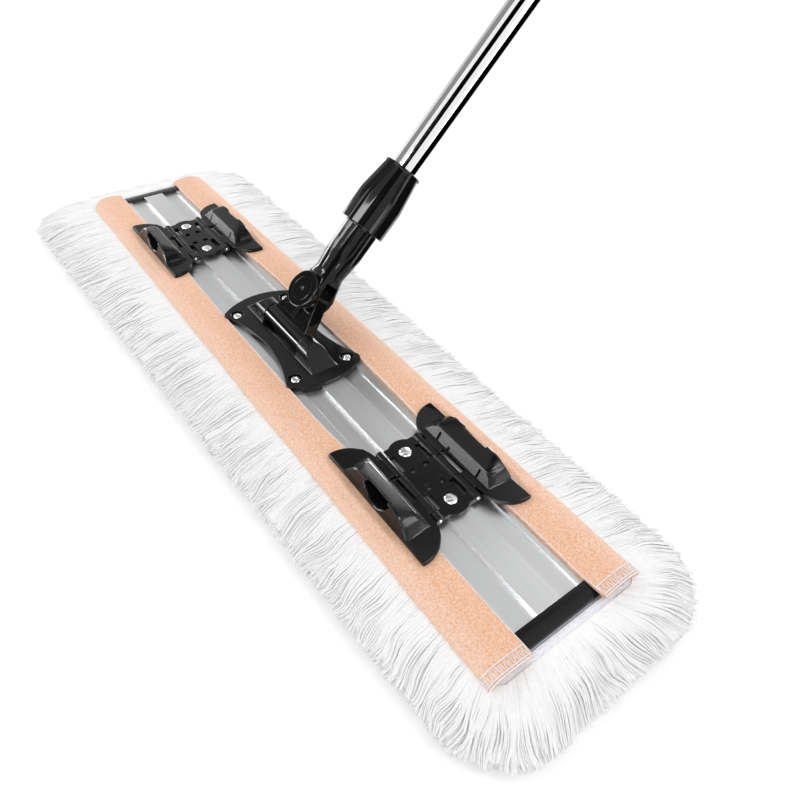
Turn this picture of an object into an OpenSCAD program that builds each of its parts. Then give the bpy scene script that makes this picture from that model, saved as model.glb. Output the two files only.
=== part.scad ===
// Dust mop: a yarn pad clamped round an aluminium plate, carried on a swivelling telescopic pole.
// The origin is the centre of the pad's underside. X runs along the plate, +Y is the side that the
// pole leans to, and +Z is up.

/* [Pad] */
// Depth of the yarn pile under the backing
pile_h = 21.5; // [15:0.5:30]
// Thickness of the woven backing
backing_t = 2; // [1:0.5:4]
// Reach of the fringe past the flaps at the long sides
fringe_side = 46; // [30:1:80]
// Reach of the fringe past the flaps at the short ends
fringe_end = 40; // [30:1:80]
// Height of the fringe above the backing, next to the flaps
fringe_rise = 1.5; // [0.5:0.5:4]
// Corner radius of the fringe, seen from above
fringe_r = 52; // [30:2:80]
// Depth of the scallops between the clumps of yarn
clump_d = 3; // [0.5:0.5:6]
// Number of clumps along each long side
clump_side_n = 12; // [8:1:16]
// Number of clumps along each short end
clump_end_n = 4; // [3:1:6]
// Number of clumps round each corner
clump_corner_n = 2; // [1:1:3]
// Width of the tape that binds each short end
binding_w = 8.5; // [6:0.5:12]
// Height of the tape next to the end cap
binding_h = 4; // [3:0.5:6]
// Height of the tape's outer edge
binding_low_h = 2.5; // [1.5:0.5:4]

/* [Flaps] */
// Thickness of the fleece flaps
flap_t = 3; // [2:0.5:5]
// Distance of the flaps' inner edges from the middle of the plate
flap_in = 28.5; // [26:0.5:34]
// Length of the flaps past each end cap
flap_over = 4.5; // [4:0.5:12]
// Radius of the flaps' outer corners at the far end
flap_r = 14; // [4:1:24]

/* [Plate] */
// Length of the aluminium plate between its end caps
frame_l = 582; // [540:2:900]
// Width of the aluminium plate
frame_w = 113; // [106:1:140]
// Thickness of the plate's flat deck
deck_t = 2; // [1.5:0.25:4]
// Width of the raised rib along the middle
rib_w = 19.4; // [17:0.2:22]
// Height of the rib above the channels
rib_h = 3; // [2.6:0.2:5]
// Width of the raised band along each long edge
band_w = 32.5; // [24:0.5:34]
// Height of the side bands above the channels
band_h = 1.6; // [1:0.2:2.4]
// Thickness of the walls round the hollow rib
skin_t = 1.2; // [0.8:0.1:1.6]

/* [End caps] */
// Length of each end cap along the plate
cap_l = 11; // [6:0.5:20]
// Depth of the cap's tongue in the hollow rib
tongue_l = 14; // [6:1:30]

/* [Clamps] */
// Distance of each clamp's centre from the middle of the plate
clamp_x = 179.5; // [140:0.5:210]
// Length of the clamp base over its end bosses
clamp_l = 66; // [60:1:80]
// Thickness of the clamp base
clamp_t = 4.3; // [3.5:0.1:6]
// Distance of each hinge from the middle of the clamp
hinge_y = 15.5; // [14.5:0.25:16.5]
// Height of the hinge axis above the rib
hinge_h = 2.6; // [2:0.1:3.4]
// Diameter of the hinge pins
hinge_pin_d = 2.6; // [2:0.1:3]
// How far each hinge pin stands out of its end bosses
hinge_pin_out = 0.5; // [0.2:0.1:1.5]
// Outside diameter of the hinge barrels
barrel_d = 6.8; // [6.2:0.1:7.4]
// Length of the barrel in the middle of the clamp base
barrel_l = 22; // [18:0.5:24]
// Length of the end bosses
boss_l = 7; // [5:0.5:9]
// Width of the slots beside the hinge knuckles
knuckle_slot = 3.2; // [2:0.1:4]
// Distance of the rivets from the clamp's centre
rivet_x = 23.9; // [20:0.1:26]
// Diameter of the rivets
rivet_d = 4.8; // [3:0.1:6]
// Diameter of the rivet heads
rivet_head_d = 9; // [7:0.25:11]
// Height of the rivet heads
rivet_head_h = 1.4; // [0.8:0.1:2]
// Radius of the clamp base's round ends
bump_r = 12; // [9:0.5:13]
// Side of the square windows in the clamp base
window = 4.2; // [2:0.2:5]
// Distance of the windows from the clamp's centre, along the plate
window_x = 8.6; // [6:0.2:10]
// Distance of the windows from the clamp's centre, across the plate
window_y = 5.2; // [4:0.2:6]
// Wire diameter of the torsion springs
spring_wire = 0.7; // [0.5:0.05:0.8]
// Number of full turns in each torsion spring
spring_turns = 5; // [3:1:8]

/* [Wings] */
// Length of a wing along its gripping edge
wing_l = 104; // [96:1:120]
// Distance of the gripping edge from the middle of the clamp
wing_reach = 43.5; // [41:0.5:50]
// Thickness of a wing's plate
wing_t = 3.3; // [2.6:0.1:4]
// Radius of a wing's rounded shoulders
lobe_r = 21.8; // [19:0.2:23]
// Length of the raised hump at its foot
hump_foot_l = 68; // [60:1:80]
// Length of the raised hump at its top
hump_top_l = 42; // [38:1:48]
// Distance of the hump's inner foot from the middle of the clamp
hump_foot_y = 24; // [23:0.25:25]
// Distance of the hump's ridge from the middle of the clamp
ridge_y = 28; // [27:0.25:29]
// Height of the ridge above the wing's plate
ridge_h = 7.8; // [6:0.2:9]
// Distance of the hump's outer edge from the middle of the clamp
hump_y = 40.5; // [39:0.25:41]
// Height of the hump's outer edge above the wing's plate
hump_h = 12.3; // [11:0.1:15]
// Thickness of the hump's walls
hump_wall = 2.4; // [1.6:0.1:3]
// Width of the finger opening in the hump's outer side
finger_w = 28; // [22:1:32]
// Depth of the notch in the hump's outer edge, over the finger opening
notch_d = 1.6; // [0.5:0.1:2.5]
// Width of the notch in the hump's outer edge
notch_w = 22; // [16:1:26]
// Width of the slits beside the hump's inner panel
slit_w = 1.6; // [1:0.1:2.4]

/* [Swivel base] */
// Length of the swivel base over its rounded ends
base_l = 130; // [124:1:150]
// Width of the swivel base over its corners
base_w = 66; // [62:1:72]
// Width of the swivel base at its waist
base_waist = 43; // [40:1:50]
// Distance of the waist's two corners from the rounded ends
base_corner_in = 12.8; // [8:0.2:16]
// Radius of the rounded ends
base_end_r = 52; // [46:1:60]
// Radius of the corners
base_corner_r = 4; // [2:0.5:6]
// Height of the swivel base above the channels
base_h = 6; // [5.2:0.2:8]
// Distance of the screws from the rounded ends
screw_in = 17; // [14:0.5:20]
// Distance of the screws from the middle, across the plate
screw_y = 22.8; // [20:0.2:23]
// Diameter of the screws
screw_d = 4; // [3:0.25:5]
// Diameter of the screw heads
screw_head_d = 8; // [6:0.25:8.5]
// Height of the screw heads
screw_head_h = 2.2; // [1.2:0.1:2.6]
// Depth of the counterbores for the screw heads
screw_sink = 3; // [2:0.25:3.5]
// Length of each bearing block at its foot
block_l = 27; // [22:0.5:30]
// Length of each bearing block at its top
block_top_l = 9; // [6:0.5:12]
// Width of the bearing blocks at their foot
block_w = 22; // [20:0.5:24]
// Wall of the bearing blocks over the hub's radius
block_wall = 0.6; // [0.2:0.1:2]
// Diameter of the axle
axle_d = 8; // [6:0.25:9]
// Depth of the axle in each bearing block
axle_seat = 10; // [6:0.5:12]
// Width of the pocket that the hub turns in
pocket_w = 22.2; // [21:0.2:24]

/* [Swivel link] */
// Diameter of the link's hub
hub_d = 16.6; // [15:0.2:18]
// Length of the link's hub
hub_l = 51.4; // [46:0.2:54]
// Gap between the hub and the rib under it
hub_gap = 0.5; // [0.4:0.1:1.5]
// Distance from the axle to the swing pin
link_l = 33.5; // [32:0.5:42]
// Thickness of the link's web
web_t = 11; // [8:0.25:11.5]
// Depth of the hollow panels in the web
panel_d = 1.8; // [0.5:0.1:3]
// Diameter of the eye for the swing pin
eye_d = 26; // [24:0.5:27.5]
// Thickness of the eye
eye_t = 12.4; // [10:0.2:14]
// Diameter of the swing pin
swing_d = 8; // [6:0.25:9]

/* [Handle socket] */
// Diameter of the fork's ears
ear_d = 25; // [24:0.2:28]
// Thickness of each ear
ear_t = 4; // [3.4:0.2:5]
// Diameter of the seats let into the ears for the caps
cap_seat_d = 18; // [14:0.5:20]
// Depth of the seats for the caps
cap_seat_t = 1.8; // [1:0.1:2.2]
// Diameter of the front cap's round head
cap_head_d = 30.6; // [28:0.2:31]
// Thickness of the front cap's head
cap_head_t = 3.5; // [2:0.1:4.5]
// Diameter of the neck between the fork and the socket
neck_d = 24; // [23:0.25:26]
// Outside diameter of the socket
socket_d = 28.4; // [27.4:0.2:32]
// Height of the fork's slot above the swing pin
slot_top = 14.5; // [14:0.5:18]
// Height of the neck's narrowest place above the swing pin
neck_top = 22; // [20:0.5:32]
// Height of the socket's full width above the swing pin
socket_z = 42; // [38:0.5:48]
// Height of the tube's seat in the socket above the swing pin
seat_z = 34; // [30:0.5:38]
// Diameter of the socket's thread under the collar nut
thread_d = 26.4; // [25.6:0.1:27]
// Number of leaf-shaped flutes round the socket
flute_n = 8; // [5:1:10]
// Depth of the flutes at the collar nut
flute_d = 1.5; // [0.4:0.1:1.6]
// Radius of the flutes across
flute_r = 8; // [5:0.5:12]
// Length over which the flutes run out
flute_l = 50; // [40:1:60]
// Turn of the flutes round the socket
flute_turn = -11; // [-22:1:22]

/* [Collar nut] */
// Height of the collar nut's lower end above the swing pin
collar_z = 64.5; // [60:0.5:76]
// Length of the collar nut
collar_l = 54; // [44:1:70]
// Diameter of the collar nut at its lower end
collar_d = 41; // [38:0.5:46]
// Diameter of the collar nut at its top
collar_top_d = 30.6; // [29:0.2:34]
// Length of the collar nut's straight part
collar_straight = 25; // [16:1:36]
// Number of gripping ribs round the collar nut
rib_n = 4; // [3:1:6]
// Width of the gripping ribs
grip_rib_w = 11; // [6:0.5:14]
// Height of the gripping ribs at the collar nut's lower end
grip_rib_h = 2.4; // [1:0.1:3]
// Height of the gripping ribs at the collar nut's top
grip_rib_top_h = 1.2; // [0.5:0.1:1.6]
// Turn of the gripping ribs round the collar nut
grip_rib_turn = -5; // [-45:1:45]

/* [Pole] */
// Lean of the pole from upright
pole_lean = 46; // [0:1:60]
// Diameter of the lower tube
pole_d = 22; // [20:0.25:23]
// Wall of both tubes
pole_t = 0.5; // [0.4:0.1:1.2]
// Length of the lower tube
lower_l = 520; // [420:5:700]
// Distance of the slide bush from the lower tube's foot
bush_stop = 36; // [30:1:100]
// Gap all round between the two tubes
tube_gap = 0.3; // [0.2:0.05:0.5]
// Length of the lock's body on the lower tube
lock_seat = 26; // [18:1:40]
// Length of the lock's body above the lower tube
lock_top = 18; // [12:1:30]
// Wall of the lock's body
lock_wall = 2; // [1.5:0.1:3]
// Diameter of the lock nut
lock_d = 33; // [31:0.5:38]
// Number of grooves round the lock nut
lock_groove_n = 12; // [6:1:18]
// Diameter of the grooves round the lock nut
lock_groove_d = 3; // [1.5:0.25:4]
// Length of the slide bush on the upper tube
bush_l = 24; // [12:1:40]

/* [Grip] */
// Length of the grip
grip_l = 110; // [80:5:160]
// Diameter of the grip
grip_d = 28; // [25:0.5:34]
// Number of ring grooves in the grip
grip_groove_n = 9; // [3:1:12]
// Depth of the ring grooves
grip_groove_d = 0.8; // [0.3:0.1:1.4]
// Length of the hanging eye past the grip
hang_l = 22; // [18:1:34]
// Thickness of the hanging eye
hang_t = 10; // [6:0.5:14]
// Diameter of the hole in the hanging eye
hang_hole_d = 8; // [5:0.5:10]

/* [Hidden] */
$fn = 48;

// Clearances: a fixed pin, a running pin, a fitted piece, two bodies that pass, and a cut's overrun
pin_gap = 0.02;
run_gap = 0.05;
fit_gap = 0.1;
body_gap = 0.35;
cut = 1;

// Sides of the mop: the near and far clamps along X, and the front and rear flaps along Y
near = 1;
far = -1;
front = -1;
rear = 1;

// Colours
aluminium = "#c8cacc";
black_plastic = "#1b1b1c";
bright_steel = "#d5d7d9";
yarn_white = "#f2f2f3";
tape_white = "#e8e6ee";
fleece_peach = "#f2bf95";

// Levels of the plate
deck_z = pile_h + backing_t;
channel_z = deck_z + deck_t;
rib_z = channel_z + rib_h;
band_z = channel_z + band_h;
flap_z = band_z + flap_t;
band_y = frame_w / 2 - band_w;

// Ends of the plate, the caps, the binding and the flaps
frame_end = frame_l / 2;
cap_end = frame_end + cap_l;
flap_end = cap_end + flap_over;
binding_gap = 1;
backing_end = cap_end + binding_gap;
binding_end = backing_end + binding_w;

// Outer face of the flaps
flap_out = frame_w / 2 + flap_t;

// Yarn: rings from the underside to the top, as shares of the way in from the fringe's edge
ring_in_shares = [0.08, 0, 0.12, 0.36, 0.68, 0.96, 1];
ring_rise_shares = [0, 0.2, 0.45, 0.8, 0.98, 1, 1];
ring_clump_shares = [0.6, 1, 0.8, 0.5, 0.2, 0, 0];
steps_per_clump = 4;
clump_half_n = clump_side_n + clump_end_n + 2 * clump_corner_n;
yarn_steps = 2 * clump_half_n * steps_per_clump;
yarn_l = 2 * (flap_end + fringe_end);
yarn_w = 2 * (flap_out + fringe_side);
yarn_in_r = body_gap;

// Clamps
hinge_z = rib_z + hinge_h;
barrel_r = barrel_d / 2;
hinge_pin_r = hinge_pin_d / 2;
hinge_pin_l = clamp_l + 2 * hinge_pin_out;
boss_x = clamp_l / 2 - boss_l;
slab_y = hinge_y - barrel_r - body_gap;
slot_y = slab_y - knuckle_slot;
spring_mean_r = hinge_pin_r + fit_gap + spring_wire / 2;
spring_room_r = spring_mean_r + spring_wire / 2 + fit_gap;
spring_end_wall = 2;
spring_l = barrel_l - 2 * spring_end_wall - spring_wire - 2 * fit_gap;
spring_sides = 6;
spring_rings = 8;
spring_leg_l = wing_reach / 4;
leg_slot_w = spring_wire + 2 * body_gap;
rivet_tail_lip = 1;
rivet_tail_d = rivet_d + 2 * rivet_tail_lip;
rivet_tail_h = rib_h - skin_t - 2 * fit_gap;

// Wings
wing_z = flap_z + body_gap;
wing_top = wing_z + wing_t;
wing_in = hinge_y + barrel_r + body_gap;
wing_notch_y = wing_in + knuckle_slot;
lobe_x = wing_l / 2 - lobe_r;
lobe_y = wing_in + lobe_r;
knuckle_x = barrel_l / 2 + body_gap;
knuckle_l = boss_x - barrel_l / 2 - 2 * body_gap;
ridge_z = wing_top + ridge_h;
hump_z = wing_top + hump_h;
slope_n = 12;

// Swivel base and its axle
base_top = channel_z + base_h;
waist_chord = base_l / 2 - base_corner_in;
waist_sag = (base_w - base_waist) / 2;
base_waist_r = (waist_chord * waist_chord + waist_sag * waist_sag) / (2 * waist_sag);
screw_x = base_l / 2 - screw_in;
hub_r = hub_d / 2;
axle_r = axle_d / 2;
axle_z = rib_z + hub_gap + hub_r;
block_x = hub_l / 2 + body_gap;
block_r = hub_r + block_wall;
axle_l = 2 * (block_x + axle_seat);
counterbore_gap = 1;
counterbore_d = screw_head_d + 2 * counterbore_gap;
screw_seat = base_top - screw_sink;

// Fork, socket and pole, along the pole from the axle
eye_r = eye_d / 2;
ear_r = ear_d / 2;
ear_in = eye_t / 2 + body_gap;
ear_out = ear_in + ear_t;
swing_r = swing_d / 2;
swing_l = 2 * (ear_out - cap_seat_t - fit_gap);
cap_head_r = cap_head_d / 2;
pole_r = pole_d / 2;
upper_r = pole_r - pole_t - tube_gap;
collar_lip = 3;
collar_rim = 2;
socket_top = link_l + collar_z + collar_l - collar_lip;
tube_z = link_l + seat_z;
tube_top = tube_z + lower_l;
lock_top_z = tube_top + lock_top;
lock_lip = 2;
grip_gap = 1;
grip_z = lock_top_z + lock_lip + grip_gap;
grip_top = grip_z + grip_l;
upper_z = tube_z + bush_stop + bush_l;
grip_wall_end = 3;
upper_top = grip_top - grip_wall_end;
neck_r = neck_d / 2;
socket_r = socket_d / 2;
thread_r = thread_d / 2;
collet_l = 10;
collet_r = pole_r + lock_wall / 2;
thread_end = socket_top - collet_l;
collet_slit = 1.5;
collet_slit_n = 4;

// A point on a rounded rectangle with half sizes a and b and corner radius r, at clump c of its way round
function arc_point(x, y, r, angle) = [x + r * cos(angle), y + r * sin(angle)];
function round_rect(c, a, b, r) =
  let (
    turn = c < clump_half_n ? 1 : -1,
    d = c < clump_half_n ? c : c - clump_half_n,
    corner_1 = clump_end_n,
    side = corner_1 + clump_corner_n,
    corner_2 = side + clump_side_n,
    p = d < corner_1 ? [a, (b - r) * (2 * d / clump_end_n - 1)]
      : d < side ? arc_point(a - r, b - r, r, 90 * (d - corner_1) / clump_corner_n)
      : d < corner_2 ? [(a - r) * (1 - 2 * (d - side) / clump_side_n), b]
      : arc_point(r - a, b - r, r, 90 + 90 * (d - corner_2) / clump_corner_n)
  )
  turn * p;

function between(low, high, share) = low + (high - low) * share;

// A smooth run from 0 to 1 that starts and ends level
function eased(share) = share * share * (3 - 2 * share);

// One point of the yarn: ring k from the underside up, step i round the pad
function yarn_point(k, i) =
  let (
    in = ring_in_shares[k],
    scallop = clump_d / 2 * ring_clump_shares[k] * (1 - cos(360 * i / steps_per_clump)),
    a = between(yarn_l / 2, binding_end + body_gap, in) - scallop,
    b = between(yarn_w / 2, flap_out + body_gap, in) - scallop,
    r = between(fringe_r, yarn_in_r, in),
    top = k == len(ring_in_shares) - 1 ? pile_h : ring_rise_shares[k] * (deck_z + fringe_rise),
    p = round_rect(i / steps_per_clump, a, b, r)
  )
  [p[0], p[1], top];

// A closed skin over rings of points, with a fan at each end
function skin_faces(rings, steps) = concat(
  [for (k = [0 : rings - 2], i = [0 : steps - 1])
    [k * steps + i, (k + 1) * steps + i, (k + 1) * steps + (i + 1) % steps]],
  [for (k = [0 : rings - 2], i = [0 : steps - 1])
    [k * steps + i, (k + 1) * steps + (i + 1) % steps, k * steps + (i + 1) % steps]],
  [for (i = [0 : steps - 1]) [rings * steps, i, (i + 1) % steps]],
  [for (i = [0 : steps - 1])
    [rings * steps + 1, (rings - 1) * steps + (i + 1) % steps, (rings - 1) * steps + i]]
);

// The torsion spring's wire: a leg over the wing, the turns round the pin, and a leg in the base
spring_start = 90;
spring_sweep = 360 * spring_turns + 90;
spring_steps = spring_rings * spring_turns + spring_rings / 4;
function spring_dir(angle) = [0, cos(angle), sin(angle)];
function spring_way(angle) = [0, -sin(angle), cos(angle)];
function spring_mid(i) =
  let (share = i / spring_steps, angle = spring_start + spring_sweep * share)
  [spring_l * (share - 0.5), 0, 0] + spring_mean_r * spring_dir(angle);
spring_last = spring_start + spring_sweep;
spring_path = concat(
  [spring_mid(0) - spring_leg_l * spring_way(spring_start)],
  [for (i = [0 : spring_steps]) spring_mid(i)],
  [spring_mid(spring_steps) + (hinge_h - spring_wire) * spring_way(spring_last)]
);
spring_angles = concat(
  [spring_start],
  [for (i = [0 : spring_steps]) spring_start + spring_sweep * i / spring_steps],
  [spring_last]
);
spring_points = [
  for (i = [0 : len(spring_path) - 1], j = [0 : spring_sides - 1])
    spring_path[i] + spring_wire / 2
      * (cos(360 * j / spring_sides) * spring_dir(spring_angles[i]) + sin(360 * j / spring_sides) * [1, 0, 0])
];
spring_least = min([
  for (i = [0 : spring_steps - spring_rings], j = [i + spring_rings - 2 : spring_steps])
    norm(spring_mid(i) - spring_mid(j))
]) - spring_wire;
echo(spring_least_gap = spring_least);

// A section in Y and Z, drawn out along X about the middle
module along_x(length) {
  translate([-length / 2, 0, 0])
    rotate([90, 0, 90])
      linear_extrude(length)
        children();
}

// A section in X and Z, drawn out along Y about the middle
module along_y(length) {
  translate([0, length / 2, 0])
    rotate([90, 0, 0])
      linear_extrude(length)
        children();
}

// A round rod along X, starting at x
module rod_x(r, x, length) {
  translate([x, 0, 0])
    rotate([0, 90, 0])
      cylinder(r = r, h = length);
}

// A round rod along Y, starting at y
module rod_y(r, y, length) {
  translate([0, y, 0])
    rotate([-90, 0, 0])
      cylinder(r = r, h = length);
}

// A box between two corners
module block(low, high) {
  translate(low)
    cube(high - low);
}

// Both sides of a plane of symmetry
module both_x() {
  children();
  mirror([1, 0, 0])
    children();
}

module both_y() {
  children();
  mirror([0, 1, 0])
    children();
}

// The clamp at one end of the plate, and one side of it with +Y outwards
module at_clamp(side) {
  translate([side * clamp_x, 0, 0])
    children();
}

module at_side(face) {
  mirror([0, face < 0 ? 1 : 0, 0])
    children();
}

module at_hinge() {
  translate([0, hinge_y, hinge_z])
    children();
}

// The pole's own frame: its origin on the axle, +Z along the pole
module on_pole() {
  translate([0, 0, axle_z])
    rotate([-pole_lean, 0, 0])
      children();
}

// Pad: one mass of cut-pile yarn with a scalloped fringe, flat underneath
module pad_yarn() {
  rings = len(ring_in_shares);
  points = concat(
    [for (k = [0 : rings - 1], i = [0 : yarn_steps - 1]) yarn_point(k, i)],
    [[0, 0, 0], [0, 0, pile_h]]
  );
  color(yarn_white)
    polyhedron(points, skin_faces(rings, yarn_steps));
}

// Woven backing between the pile and the plate
module pad_backing() {
  color(tape_white)
    block([-backing_end, -frame_w / 2, pile_h], [backing_end, frame_w / 2, deck_z]);
}

// Binding tape along one short end of the backing, sloping down to the fringe
module end_binding(side) {
  edge = binding_low_h / 2;
  color(tape_white)
    mirror([side < 0 ? 1 : 0, 0, 0])
      translate([backing_end, 0, pile_h])
        along_y(frame_w)
          polygon([
            [0, 0],
            [0, binding_h],
            [binding_w - edge, binding_low_h],
            [binding_w, edge],
            [binding_w, 0]
          ]);
}

// Section of a flap: up round the plate's edge and over the side band, with round edges
module flap_section() {
  edge_y = frame_w / 2;
  fold_r = flap_t;
  translate([edge_y, pile_h])
    square([flap_t, band_z - pile_h]);
  intersection() {
    translate([edge_y, band_z])
      circle(fold_r);
    translate([edge_y, band_z])
      square([fold_r, fold_r]);
  }
  translate([flap_in + flap_t / 2, band_z])
    square([edge_y - flap_in - flap_t / 2, flap_t]);
  translate([flap_in + flap_t / 2, band_z + flap_t / 2])
    circle(flap_t / 2);
}

// Fleece flap along one long side, drawn in round the corners of the swivel base
module flap(face) {
  color(fleece_peach)
    at_side(face)
      difference() {
        along_x(2 * flap_end)
          flap_section();
        translate([0, 0, pile_h - cut])
          linear_extrude(flap_z)
            difference() {
              translate([-flap_end - cut, flap_out - flap_r])
                square([flap_r + cut, flap_r + cut]);
              translate([-flap_end + flap_r, flap_out - flap_r])
                circle(flap_r);
            }
        translate([0, 0, band_z - cut])
          linear_extrude(flap_z)
            offset(delta = body_gap)
              base_outline();
      }
}

// Aluminium extrusion: a flat deck with a hollow rib and a raised band along each long edge
module frame_plate() {
  chamber_w = rib_w - 2 * skin_t;
  color(aluminium)
    difference() {
      along_x(frame_l)
        difference() {
          union() {
            translate([-frame_w / 2, deck_z])
              square([frame_w, deck_t]);
            translate([-rib_w / 2, deck_z])
              square([rib_w, deck_t + rib_h]);
            both_x()
              translate([band_y, deck_z])
                square([band_w, deck_t + band_h]);
          }
          translate([-chamber_w / 2, channel_z])
            square([chamber_w, rib_h - skin_t]);
        }
      for (side = [far, near], x = [-rivet_x, rivet_x])
        translate([side * clamp_x + x, 0, channel_z])
          cylinder(d = rivet_d + 2 * fit_gap, h = rib_h + cut);
      for (x = [-screw_x, screw_x], y = [-screw_y, screw_y])
        translate([x, y, deck_z - cut])
          cylinder(d = screw_d + 2 * pin_gap, h = deck_t + band_h + 2 * cut);
    }
}

// Moulded cap over one end of the plate, low under the flaps, with a tongue in the hollow rib
module end_cap(side) {
  raised_y = flap_in - body_gap;
  tongue_w = rib_w - 2 * skin_t - 2 * fit_gap;
  color(black_plastic)
    mirror([side < 0 ? 1 : 0, 0, 0]) {
      block([frame_end, -frame_w / 2, deck_z], [cap_end, frame_w / 2, band_z]);
      block([frame_end, -raised_y, deck_z], [cap_end, raised_y, rib_z]);
      block(
        [frame_end - tongue_l, -tongue_w / 2, channel_z + fit_gap],
        [frame_end + cut, tongue_w / 2, rib_z - skin_t - fit_gap]
      );
    }
}

// Clamp base: a slab on the rib, with a spring barrel and two end bosses along each side
module clamp_base(side) {
  slab_top = rib_z + clamp_t;
  color(black_plastic)
    at_clamp(side)
      difference() {
        union() {
          translate([0, 0, rib_z])
            linear_extrude(clamp_t) {
              square([clamp_l, 2 * slot_y], center = true);
              both_x()
                translate([rivet_x, 0])
                  intersection() {
                    circle(bump_r);
                    square([2 * bump_r, 2 * slot_y], center = true);
                  }
            }
          both_y() {
            block([-barrel_l / 2, 0, rib_z], [barrel_l / 2, hinge_y, slab_top]);
            at_hinge()
              rod_x(barrel_r, -barrel_l / 2, barrel_l);
            both_x() {
              block([boss_x, 0, rib_z], [clamp_l / 2, hinge_y, slab_top]);
              at_hinge()
                rod_x(barrel_r, boss_x, boss_l);
            }
          }
        }
        both_y() {
          at_hinge() {
            rod_x(hinge_pin_r + pin_gap, -clamp_l / 2 - cut, clamp_l + 2 * cut);
            rod_x(spring_room_r, -barrel_l / 2 + spring_end_wall, barrel_l - 2 * spring_end_wall);
            translate([-(spring_l + leg_slot_w) / 2, 0, 0])
              cube([leg_slot_w, barrel_r + cut, barrel_r + cut]);
            translate([(spring_l - leg_slot_w) / 2, -spring_mean_r - leg_slot_w / 2, -hinge_h])
              cube([leg_slot_w, leg_slot_w, hinge_h]);
          }
        }
        for (x = [-window_x, window_x], y = [-window_y, window_y])
          translate([x - window / 2, y - window / 2, rib_z - cut])
            cube([window, window, clamp_t + 2 * cut]);
        for (x = [-rivet_x, rivet_x])
          translate([x, 0, rib_z - cut])
            cylinder(d = rivet_d + 2 * fit_gap, h = clamp_t + 2 * cut);
      }
}

// Two blind rivets that hold a clamp base on the rib
module clamp_rivets(side) {
  slab_top = rib_z + clamp_t;
  tail_top = rib_z - skin_t - fit_gap / 2;
  color(bright_steel)
    at_clamp(side)
      for (x = [-rivet_x, rivet_x])
        translate([x, 0, 0]) {
          translate([0, 0, tail_top - rivet_tail_h])
            cylinder(d = rivet_tail_d, h = rivet_tail_h);
          translate([0, 0, tail_top - rivet_tail_h])
            cylinder(d = rivet_d, h = slab_top + rivet_head_h - tail_top + rivet_tail_h);
          translate([0, 0, slab_top])
            cylinder(d1 = rivet_head_d, d2 = rivet_head_d - 2 * rivet_head_h, h = rivet_head_h);
        }
}

// Two steel hinge pins of a clamp
module hinge_pins(side) {
  color(bright_steel)
    at_clamp(side)
      both_y()
        at_hinge()
          rod_x(hinge_pin_r, -hinge_pin_l / 2, hinge_pin_l);
}

// Torsion spring round one hinge pin, inside the clamp base's barrel
module clamp_spring(side, face) {
  rings = len(spring_path);
  middle = [spring_path[0], spring_path[rings - 1]];
  color(bright_steel)
    at_clamp(side)
      at_side(face)
        at_hinge()
          polyhedron(concat(spring_points, middle), skin_faces(rings, spring_sides));
}

// Outline of a wing from above: a straight gripping edge and two round shoulders
module wing_outline() {
  difference() {
    union() {
      both_x()
        translate([lobe_x, lobe_y])
          circle(lobe_r);
      translate([-lobe_x, wing_in])
        square([2 * lobe_x, 2 * lobe_r]);
    }
    translate([-wing_l, wing_reach])
      square([2 * wing_l, 2 * lobe_r]);
    translate([-knuckle_x, 0])
      square([2 * knuckle_x, wing_notch_y]);
  }
}

// Section of the hump across the wing
module hump_section() {
  polygon([
    [hump_foot_y, wing_z],
    [hump_foot_y, wing_top],
    [ridge_y, ridge_z],
    [hump_y, hump_z],
    [wing_reach, wing_top],
    [wing_reach, wing_z]
  ]);
}

// Wing: a half-moon jaw with a raised hump to lift it by and two knuckles on the hinge pin
module wing(side, face) {
  foot_x = hump_foot_l / 2;
  top_x = hump_top_l / 2;
  slit_x = top_x - slit_w;
  slope = [
    for (i = [0 : slope_n])
      [between(foot_x, top_x, i / slope_n), between(wing_top, hump_z, eased(i / slope_n))]
  ];
  leg_groove_z = hinge_z + spring_mean_r - leg_slot_w / 2;
  color(black_plastic)
    at_clamp(side)
      at_side(face)
        difference() {
          union() {
            translate([0, 0, wing_z])
              linear_extrude(wing_t)
                wing_outline();
            intersection() {
              along_x(hump_foot_l)
                hump_section();
              along_y(2 * (wing_reach + cut))
                polygon(concat(
                  [[-foot_x, wing_z]],
                  [for (p = slope) [-p[0], p[1]]],
                  [for (i = [0 : slope_n]) slope[slope_n - i]],
                  [[foot_x, wing_z]]
                ));
            }
            both_x() {
              at_hinge()
                rod_x(barrel_r, knuckle_x, knuckle_l);
              block([knuckle_x, hinge_y, wing_z], [knuckle_x + knuckle_l, wing_notch_y, wing_top]);
            }
          }
          finger_room();
          translate([-notch_w / 2, hump_y - notch_d, ridge_z])
            cube([notch_w, wing_reach, hump_h]);
          both_x()
            translate([slit_x, hump_foot_y - cut, wing_top])
              cube([slit_w, ridge_y - hump_foot_y + cut, ridge_h - hump_wall]);
          at_hinge()
            rod_x(hinge_pin_r + run_gap, -clamp_l, 2 * clamp_l);
          translate([-(spring_l + leg_slot_w) / 2, wing_notch_y - cut, leg_groove_z])
            cube([leg_slot_w, hinge_y + spring_leg_l + body_gap - wing_notch_y + cut, wing_t]);
        }
}

// Hollow under a hump, open on its outer side for a finger
module finger_room() {
  intersection() {
    along_x(finger_w)
      polygon([
        [hump_foot_y + 2 * hump_wall, wing_top],
        [ridge_y + hump_wall, ridge_z - hump_wall],
        [hump_y - hump_wall, hump_z - hump_wall],
        [wing_reach + cut, hump_z - hump_wall],
        [wing_reach + cut, wing_top]
      ]);
    translate([0, 0, wing_top + finger_w / 2])
      rod_y(finger_w / 2, 0, wing_reach + 2 * cut);
  }
}

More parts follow.
